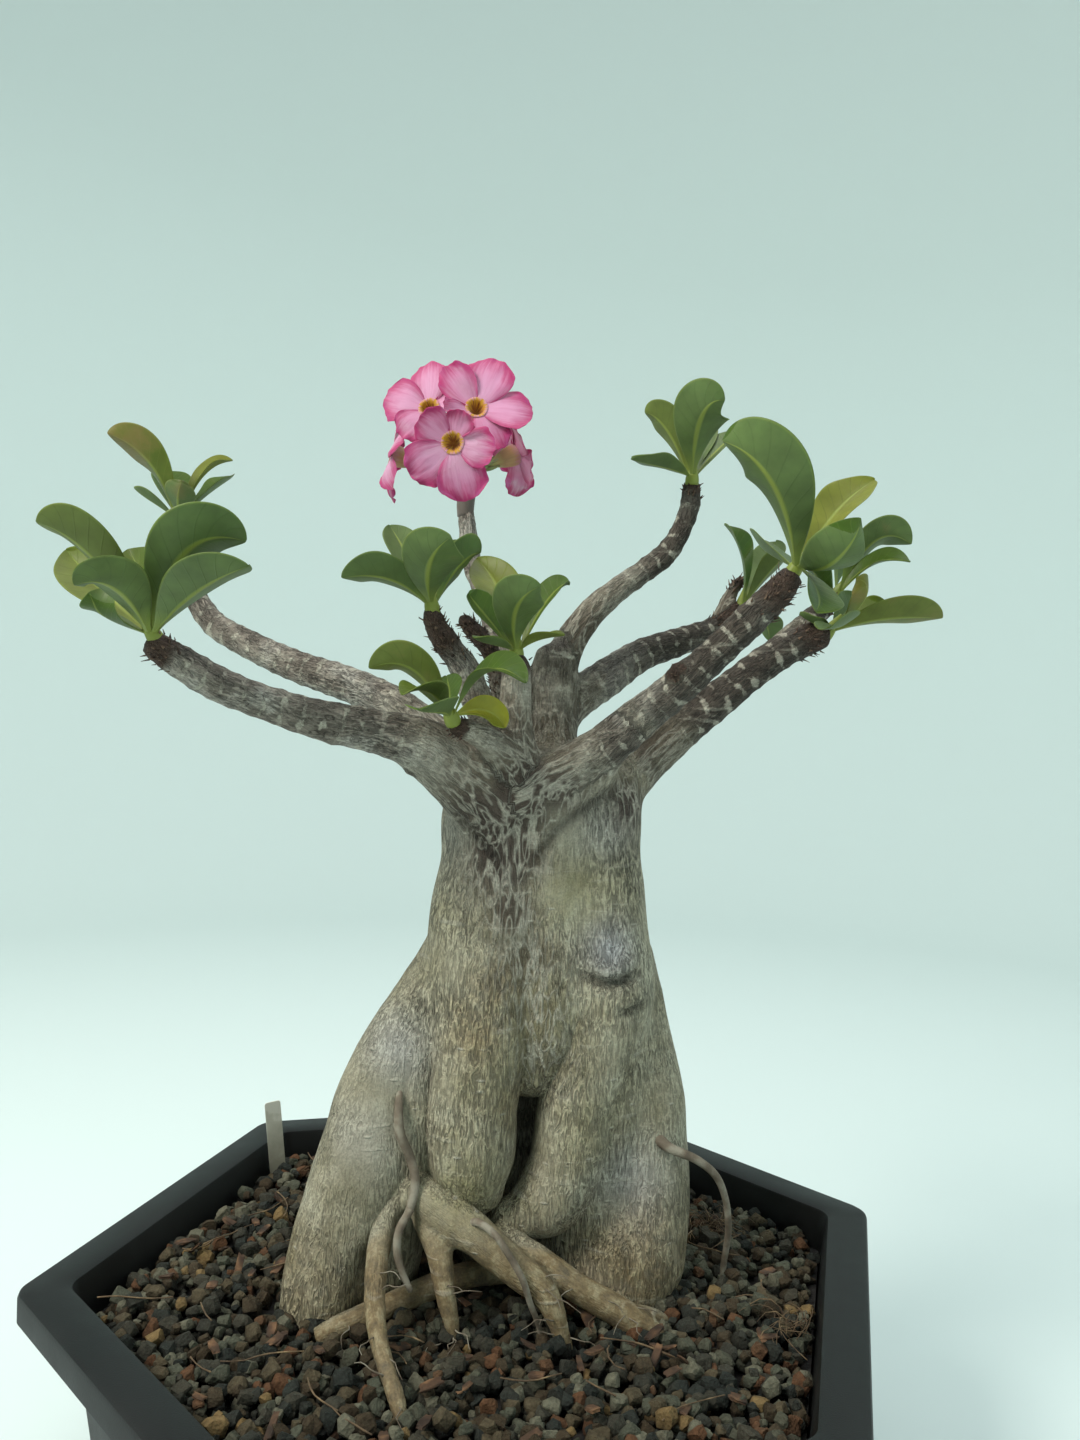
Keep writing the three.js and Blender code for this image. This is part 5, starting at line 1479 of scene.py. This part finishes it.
def lay_stones():
    """Drops the stones one by one on the bed, each on what lies under it already."""
    s = sizes()
    draw = random.Random(s.seed + 3)
    level = s.gravel_level / MM
    smallest, largest = s.stone_smallest / MM, s.stone_largest / MM
    cells = int(2 * HEAP_HALF / HEAP_CELL)
    heap = np.full((cells, cells), s.gravel_bed / MM)
    plant = np.array(plant_circles(level))

    def heap_cell(x, y):
        return int((x + HEAP_HALF) / HEAP_CELL), int((y + HEAP_HALF) / HEAP_CELL)

    prototypes = [stone_prototype(draw) for _ in range(14)]
    placed = []
    tries = 0
    while len(placed) < s.stones and tries < s.stones * 6:
        tries += 1
        x, y = [draw.uniform(-HEAP_HALF + 12, HEAP_HALF - 12) for _ in range(2)]
        size = smallest + (largest - smallest) * draw.random() ** 1.7
        if flat_distance(x, y) > WALL_APOTHEM - 0.42 * size:
            continue
        gaps = np.hypot(plant[:, 0] - x, plant[:, 1] - y) - plant[:, 2]
        if gaps.min() < -1.0:
            continue
        i, j = heap_cell(x, y)
        k = max(1, int(0.34 * size / HEAP_CELL))
        under = heap[i - k:i + k + 1, j - k:j + k + 1]
        rest = float(np.quantile(under, 0.7))
        if rest > level + 3.5 * noise.noise(Vector((x, y, 0)) / 60) + 1.5:
            continue
        z = rest + 0.34 * size * STONE_HEIGHT
        np.maximum(under, z + 0.3 * size * STONE_HEIGHT, out=under)
        placed.append((x, y, z, size, draw.random(), draw.randrange(len(prototypes))))
    # How far each stone lies under the heap around it, in shares of its size, which darkens it as
    # painted shade.
    buried = []
    for x, y, z, size, _, _ in placed:
        i, j = heap_cell(x, y)
        around = heap[i - 2:i + 3, j - 2:j + 3]
        buried.append((float(np.quantile(around, 0.6)) - z) / size)
    return prototypes, placed, buried, draw


def grow_gravel():
    """The stones on the bed, in a coarse and a fine lot."""
    s = sizes()
    prototypes, placed, buried, draw = lay_stones()
    lots = {"gravel_coarse": [], "gravel_fine": []}
    middle = (s.stone_largest + s.stone_smallest) / 2 / MM - 1
    for (x, y, z, size, tone, number), under in zip(placed, buried):
        turned = (Matrix.Rotation(draw.uniform(0, 6.3), 4, "Z")
                  @ Matrix.Rotation(draw.gauss(0, 0.45), 4, "X")
                  @ Matrix.Rotation(draw.gauss(0, 0.45), 4, "Y"))
        matrix = (Matrix.Translation(Vector((x, y, z)) * MM) @ turned
                  @ Matrix.Scale(size * MM, 4))
        lots["gravel_coarse" if size > middle else "gravel_fine"].append(
            (number, matrix, tone, z, size, under))
    stone = stone_material()
    for name, lot in lots.items():
        bm = copies(prototypes, [(number, matrix) for number, matrix, *_ in lot])
        tones = bm.verts.layers.float.new("tone")
        stone_shade_layer = bm.verts.layers.float.new("sunk")
        bm.verts.ensure_lookup_table()
        start = 0
        for number, _, tone, z, size, under in lot:
            end = start + len(prototypes[number].vertices)
            for vert in bm.verts[start:end]:
                vert[tones] = tone
                # Painted shade: the sunk value grows towards each stone's underside and where
                # others cover it.
                low = (z - vert.co.z / MM) / size
                vert[stone_shade_layer] = min(1, max(0, 0.35 + 0.9 * low + 0.9 * (under - 0.15)))
            start = end
        piece = new_piece(name, bm, [stone], smooth=False)
        finished(piece, "gravel", "gravel")
    bpy.data.batch_remove(prototypes)


def grow_bed():
    """The bed: a hexagonal block of grit under the stones."""
    bm = bmesh.new()
    bmesh.ops.create_circle(
        bm, cap_ends=True, segments=6, radius=BED_FOOT / math.cos(math.radians(30)) * MM,
        matrix=Matrix.Translation((0, 0, BED_FLOOR * MM)) @ Matrix.Rotation(HEXAGON_TURN, 4, "Z"))
    top = bmesh.ops.extrude_face_region(bm, geom=bm.faces[:])["geom"]
    risen = only(bmesh.types.BMVert, top)
    bmesh.ops.translate(bm, verts=risen, vec=(0, 0, sizes().gravel_bed - BED_FLOOR * MM))
    bmesh.ops.scale(bm, verts=risen, vec=(BED_TOP / BED_FOOT, BED_TOP / BED_FOOT, 1))
    bmesh.ops.recalc_face_normals(bm, faces=bm.faces[:])
    return finished(new_piece("gravel_bed", bm, [bed_material()], smooth=False),
                    "gravel", "gravel")


def open_gravel_spot(draw, circles):
    """A random place on the gravel, clear of the trunk."""
    while True:
        x, y = draw.uniform(-200, 200), draw.uniform(-200, 200)
        if flat_distance(x, y) > WALL_APOTHEM - 12:
            continue
        if min(math.hypot(x - cx, y - cy) - radius for cx, cy, radius in circles) > 4:
            return x, y


def lying_straws(draw, circles, level):
    """Meshes of single bent straws, and of the fibres of a few tufts of coir."""
    straws = []

    def lay(stations, margin, segments):
        """Keeps a straw that doesn't reach over the pot's wall."""
        if all(flat_distance(x, y) < WALL_APOTHEM - margin for x, y, _, _ in stations):
            straws.append(tube_mesh(smooth_path(stations, 6.0), segments))

    for _ in range(STRAWS):
        x, y = open_gravel_spot(draw, circles)
        turn, span = draw.uniform(0, math.pi), draw.uniform(14, 42)
        bow = draw.uniform(-5, 5)
        stations = []
        for step in range(5):
            along = (step / 4 - 0.5) * span
            off = bow * math.sin(math.pi * step / 4)
            stations.append([x + along * math.cos(turn) - off * math.sin(turn),
                             y + along * math.sin(turn) + off * math.cos(turn),
                             level + 6.5 + draw.uniform(-0.8, 1.2), draw.uniform(0.3, 0.55)])
        lay(stations, 2, 5)
    for tuft_x, tuft_y in COIR_TUFTS:
        for _ in range(TUFT_FIBRES):
            turn, span = draw.uniform(0, 2 * math.pi), draw.uniform(10, 26)
            x, y = tuft_x + draw.gauss(0, 5), tuft_y + draw.gauss(0, 5)
            rise = draw.uniform(1, 9)
            lay([[x + span * (k / 3) * math.cos(turn + 0.3 * k),
                  y + span * (k / 3) * math.sin(turn + 0.3 * k),
                  level + 4 + rise * math.sin(math.pi * k / 3.4),
                  0.34 - 0.05 * k] for k in range(4)], 1, 4)
    return straws


def chip_prototype(draw):
    """One flat torn flake of bark, a unit long."""
    bm = bmesh.new()
    bmesh.ops.create_cube(bm, size=1)
    bmesh.ops.subdivide_edges(bm, edges=bm.edges[:], cuts=1, use_grid_fill=True)
    for vert in bm.verts:
        vert.co += Vector([draw.uniform(-0.14, 0.14) for _ in range(3)])
        vert.co.x *= 1 - 0.35 * abs(vert.co.y)
    return as_mesh(bm, "chip")


def grow_litter():
    """Straws, bark chips and tufts of coir that lie on the gravel."""
    draw = random.Random(sizes().seed + 5)
    level = sizes().gravel_level / MM
    circles = plant_circles(level)
    straw = litter_material("dry_straw", [
        (0.35, "4C3D2E"), (0.55, "66543E"), (0.8, colours().straw)])
    straws = joined(lying_straws(draw, circles, level))
    finished(new_piece("straw_and_coir", straws, [straw]), "gravel")
    flakes = [chip_prototype(draw) for _ in range(5)]
    places = []
    for _ in range(BARK_CHIPS):
        x, y = open_gravel_spot(draw, circles)
        turned = (Matrix.Rotation(draw.uniform(0, 6.3), 4, "Z")
                  @ Matrix.Rotation(draw.gauss(0, 0.3), 4, "X"))
        stretch = Matrix.Diagonal((draw.uniform(3, 6), draw.uniform(6, 14),
                                   draw.uniform(0.8, 1.6), 1))
        places.append((draw.randrange(len(flakes)), Matrix.Scale(MM, 4)
                       @ Matrix.Translation((x, y, level + 5.5)) @ turned @ stretch))
    chip = litter_material("bark_chip", [(0.35, "2E221A"), (0.55, "4D3828"), (0.72, "7A5B40")])
    chips = new_piece("bark_chips", copies(flakes, places), [chip], smooth=False)
    finished(chips, "gravel")
    bpy.data.batch_remove(flakes)


# ---- Pot and label ------------------------------------------------------------------------
# Half widths across the flats and heights of the pot's outline, in millimetres, from the
# middle of its underside up the outside, over the rim and down the inside.
POT_OUTLINE = [
    (177, 0), (180, 3), (199.2, 145), (199.8, 150.5), (219.5, 151), (222.5, 151.6),
    (225, 154), (225, 166.2), (224.2, 168.6), (222, 170), (203, 170), (200.6, 169.2),
    (199.7, 167), (197.2, 151), (177.2, 7), (174, 4),
]
POT_CORNER = 6.4                    # how far each corner is cut back, in millimetres
DRAIN_RADIUS, DRAIN_RING = 8, 110   # of each hole, and of the ring of them


def grow_pot():
    """The moulded shell: a hexagon with round corners, drawn up, over the rim and down."""
    bm = bmesh.new()
    before = POT_OUTLINE[0]
    bmesh.ops.create_circle(
        bm, cap_ends=True, segments=6, radius=before[0] / math.cos(math.radians(30)) * MM,
        matrix=Matrix.Rotation(HEXAGON_TURN, 4, "Z"))
    bmesh.ops.bevel(bm, geom=bm.verts[:], offset=POT_CORNER * MM, segments=8, profile=0.5,
                    affect="VERTICES", material=-1)
    bmesh.ops.recalc_face_normals(bm, faces=bm.faces[:])
    top = bm.verts[:] + bm.edges[:] + bm.faces[:]
    for apothem, height in POT_OUTLINE[1:]:
        top = bmesh.ops.extrude_face_region(bm, geom=top)["geom"]
        verts = only(bmesh.types.BMVert, top)
        share = apothem / before[0]
        bmesh.ops.scale(bm, verts=verts, vec=(share, share, 1))
        bmesh.ops.translate(bm, verts=verts, vec=(0, 0, (height - before[1]) * MM))
        before = (apothem, height)
    bmesh.ops.recalc_face_normals(bm, faces=bm.faces[:])
    piece = new_piece("pot_shell", bm, [pot_material()])
    drains = bmesh.new()
    for k in range(6):
        turn = POT_TURN + math.radians(60 * k)
        bmesh.ops.create_cone(
            drains, cap_ends=True, segments=24, radius1=DRAIN_RADIUS * MM,
            radius2=DRAIN_RADIUS * MM, depth=20 * MM, matrix=Matrix.Translation(
                (DRAIN_RING * MM * math.cos(turn), DRAIN_RING * MM * math.sin(turn), 0)))
    cutter = new_piece("drain_cutter", drains)
    holes = piece.modifiers.new("Drain holes", "BOOLEAN")
    holes.object = cutter
    holes.solver = "EXACT"
    graph = bpy.context.evaluated_depsgraph_get()
    cut = bpy.data.meshes.new_from_object(piece.evaluated_get(graph))
    piece.modifiers.clear()
    piece.data = cut
    bpy.data.objects.remove(cutter)
    cut.set_sharp_from_angle(angle=math.radians(32))
    return finished(piece, "pot_plastic", "pot")


def grow_label():
    """A slim plastic label with round corners, left bare, that leans in the gravel."""
    width, thick, tall, corner = 11.5, 0.9, 80, 2
    top = (-161, 138, 203)
    bm = bmesh.new()
    bmesh.ops.create_cube(bm, size=1, matrix=Matrix.Diagonal(
        (width * MM, thick * MM, tall * MM, 1)) @ Matrix.Translation((0, 0, -0.5)))
    upright = [edge for edge in bm.edges
               if abs(edge.verts[0].co.y - edge.verts[1].co.y) > 0.5 * thick * MM]
    bmesh.ops.bevel(bm, geom=upright, offset=corner * MM, segments=4, profile=0.5,
                    affect="EDGES", material=-1)
    place = (Matrix.Translation(Vector(top) * MM)
             @ Matrix.Rotation(math.radians(25), 4, "Z")
             @ Matrix.Rotation(math.radians(-6), 4, "Y"))
    bmesh.ops.transform(bm, matrix=place, verts=bm.verts[:])
    piece = new_piece("plant_tag", bm, [label_material()], smooth=False)
    edges = piece.modifiers.new("Soft edges", "BEVEL")
    edges.width = 0.2 * MM
    edges.segments = 2
    return finished(piece, "label_plastic", "plant_label")


# ---- Stage --------------------------------------------------------------------------------
# Each lamp: where it hangs, its width, both in metres, its power in watts and its colour.
LAMPS = {"window": ((-1.3, -0.9, 1.8), 0.8, 40, "FFFAF2"),
         "fill": ((1.4, -1.0, 0.9), 1.3, 4, "F2F6FF"),
         "top": ((0.3, 0.3, 2.3), 1.4, 14, "FAFCFF")}
LIT_POINT = Vector((0, 0, 0.38))
# The photograph's camera, as solved on the pot's rim: millimetres and degrees.
CAMERA_PLACE, CAMERA_PITCH, CAMERA_ROLL = (27.5, -651.9, 492.6), -0.4135, 1.4777
CAMERA_LENS, CAMERA_SENSOR = 27.08, 36
COVE_FLOOR, COVE_BEND, COVE_TOP = 1.9, 0.9, 4.2     # flat radius, bend and height, in metres


def set_cove():
    """A round pale cove, its floor bending up into its wall."""
    bm = bmesh.new()
    profile = [(0.001, 0)]
    profile += [(COVE_FLOOR + COVE_BEND * math.sin(a), COVE_BEND - COVE_BEND * math.cos(a))
                for a in np.linspace(0, math.pi / 2, 12)]
    profile.append((COVE_FLOOR + COVE_BEND, COVE_TOP))
    verts = [bm.verts.new((x, 0, z)) for x, z in profile]
    edges = [bm.edges.new(pair) for pair in zip(verts, verts[1:])]
    bmesh.ops.spin(bm, geom=verts + edges, axis=(0, 0, 1), cent=(0, 0, 0), steps=64,
                   angle=2 * math.pi, use_merge=True)
    bmesh.ops.recalc_face_normals(bm, faces=bm.faces[:])
    cove = new_piece("pale_cove", bm, [stage_material()])


def set_light():
    """Soft daylight all round, a window on the left and two weaker lamps."""
    world = bpy.data.worlds.new("soft_daylight")
    bpy.context.scene.world = world
    world.use_nodes = True
    background = world.node_tree.nodes["Background"]
    background.inputs["Color"].default_value = srgb("F2F5F4")
    background.inputs["Strength"].default_value = 0.6
    for name, (place, size, power, shade) in LAMPS.items():
        lamp = bpy.data.lights.new(name, "AREA")
        lamp.shape = "DISK"
        lamp.size = size
        lamp.energy = power
        lamp.color = srgb(shade)[:3]
        light = bpy.data.objects.new(name, lamp)
        light.location = place
        light.rotation_euler = (LIT_POINT - Vector(place)).to_track_quat("-Z", "Y").to_euler()
        bpy.context.scene.collection.objects.link(light)


def set_camera():
    """The camera at the photograph's angle."""
    camera = bpy.data.cameras.new("photo_camera")
    camera.sensor_width = CAMERA_SENSOR
    camera.lens = CAMERA_LENS
    camera.clip_start, camera.clip_end = 0.01, 50
    eye = bpy.data.objects.new("photo_camera", camera)
    pitch, roll = math.radians(CAMERA_PITCH), math.radians(CAMERA_ROLL)
    sideways = Vector((1, 0, 0))
    ahead = Vector((0, math.cos(pitch), math.sin(pitch)))
    above = Vector((0, -math.sin(pitch), math.cos(pitch)))
    right = sideways * math.cos(roll) + above * math.sin(roll)
    upward = above * math.cos(roll) - sideways * math.sin(roll)
    place = Matrix((right, upward, -ahead)).transposed().to_4x4()
    place.translation = Vector(CAMERA_PLACE) * MM
    eye.matrix_world = place
    bpy.context.scene.collection.objects.link(eye)
    bpy.context.scene.camera = eye
    bpy.context.scene.view_settings.view_transform = "Standard"


# ---- Operators ----------------------------------------------------------------------------
class DESERTROSE_OT_caudex(bpy.types.Operator):
    """Grow the swollen trunk with its branches and roots"""
    bl_idname = "desert_rose.caudex"
    bl_label = "Trunk, branches and roots"

    def execute(self, context):
        finished(grow_caudex(), "bark", "caudex")
        finished(grow_thin_roots(), "bark", "caudex")
        finished(grow_scales(), "bark", "caudex")
        return {"FINISHED"}


class DESERTROSE_OT_leaves(bpy.types.Operator):
    """Grow the ten leafy tips"""
    bl_idname = "desert_rose.leaves"
    bl_label = "Leaves"

    def execute(self, context):
        c = colours()
        materials = [leaf_material("leaf_upper_face", c.leaf_upper, False),
                     leaf_material("leaf_under_face", c.leaf_under, True)]
        for name, rosette in ROSETTES.items():
            grow_rosette(name, rosette, materials)
        return {"FINISHED"}


class DESERTROSE_OT_blooms(bpy.types.Operator):
    """Grow the five blooms, their throats and their stalks"""
    bl_idname = "desert_rose.blooms"
    bl_label = "Blooms"

    def execute(self, context):
        materials = [petal_material("petal_face", False), petal_material("petal_back", True),
                     tube_material(), throat_material()]
        for name, bloom in BLOOMS.items():
            grow_bloom(name, bloom, materials)
        grow_stalks()
        return {"FINISHED"}


class DESERTROSE_OT_gravel(bpy.types.Operator):
    """Lay the gravel, its bed and the litter on it"""
    bl_idname = "desert_rose.gravel"
    bl_label = "Gravel and litter"

    def execute(self, context):
        grow_gravel()
        grow_bed()
        grow_litter()
        return {"FINISHED"}


class DESERTROSE_OT_pot(bpy.types.Operator):
    """Mould the hexagonal pot"""
    bl_idname = "desert_rose.pot"
    bl_label = "Pot"

    def execute(self, context):
        grow_pot()
        return {"FINISHED"}


class DESERTROSE_OT_label(bpy.types.Operator):
    """Stick the bare label in the gravel"""
    bl_idname = "desert_rose.label"
    bl_label = "Label"

    def execute(self, context):
        grow_label()
        return {"FINISHED"}


class DESERTROSE_OT_stage(bpy.types.Operator):
    """Set up the pale stage, the light and the camera"""
    bl_idname = "desert_rose.stage"
    bl_label = "Stage"

    def execute(self, context):
        set_cove()
        set_light()
        set_camera()
        return {"FINISHED"}


class DESERTROSE_PT_panel(bpy.types.Panel):
    """Lists the steps and their settings"""
    bl_idname = "DESERTROSE_PT_panel"
    bl_label = "Desert rose"
    bl_space_type = "VIEW_3D"
    bl_region_type = "UI"
    bl_category = "Desert rose"

    def draw(self, context):
        for step in OPERATORS:
            self.layout.operator(step.bl_idname)
        for group in (context.scene.desert_rose_sizes, context.scene.desert_rose_colours):
            box = self.layout.box()
            for name in group.__annotations__:
                box.prop(group, name)


OPERATORS = (DESERTROSE_OT_stage, DESERTROSE_OT_pot, DESERTROSE_OT_gravel,
             DESERTROSE_OT_caudex, DESERTROSE_OT_leaves, DESERTROSE_OT_blooms,
             DESERTROSE_OT_label)
CLASSES = (DesertRoseSizes, DesertRoseColours, *OPERATORS, DESERTROSE_PT_panel)


def register():
    for cls in CLASSES:
        bpy.utils.register_class(cls)
    bpy.types.Scene.desert_rose_sizes = PointerProperty(type=DesertRoseSizes)
    bpy.types.Scene.desert_rose_colours = PointerProperty(type=DesertRoseColours)


def unregister():
    del bpy.types.Scene.desert_rose_colours
    del bpy.types.Scene.desert_rose_sizes
    for cls in reversed(CLASSES):
        bpy.utils.unregister_class(cls)


def main():
    """Makes every piece."""
    register()
    bpy.ops.desert_rose.stage()
    bpy.ops.desert_rose.pot()
    bpy.ops.desert_rose.gravel()
    bpy.ops.desert_rose.caudex()
    bpy.ops.desert_rose.leaves()
    bpy.ops.desert_rose.blooms()
    bpy.ops.desert_rose.label()


if __name__ == "__main__":
    main()
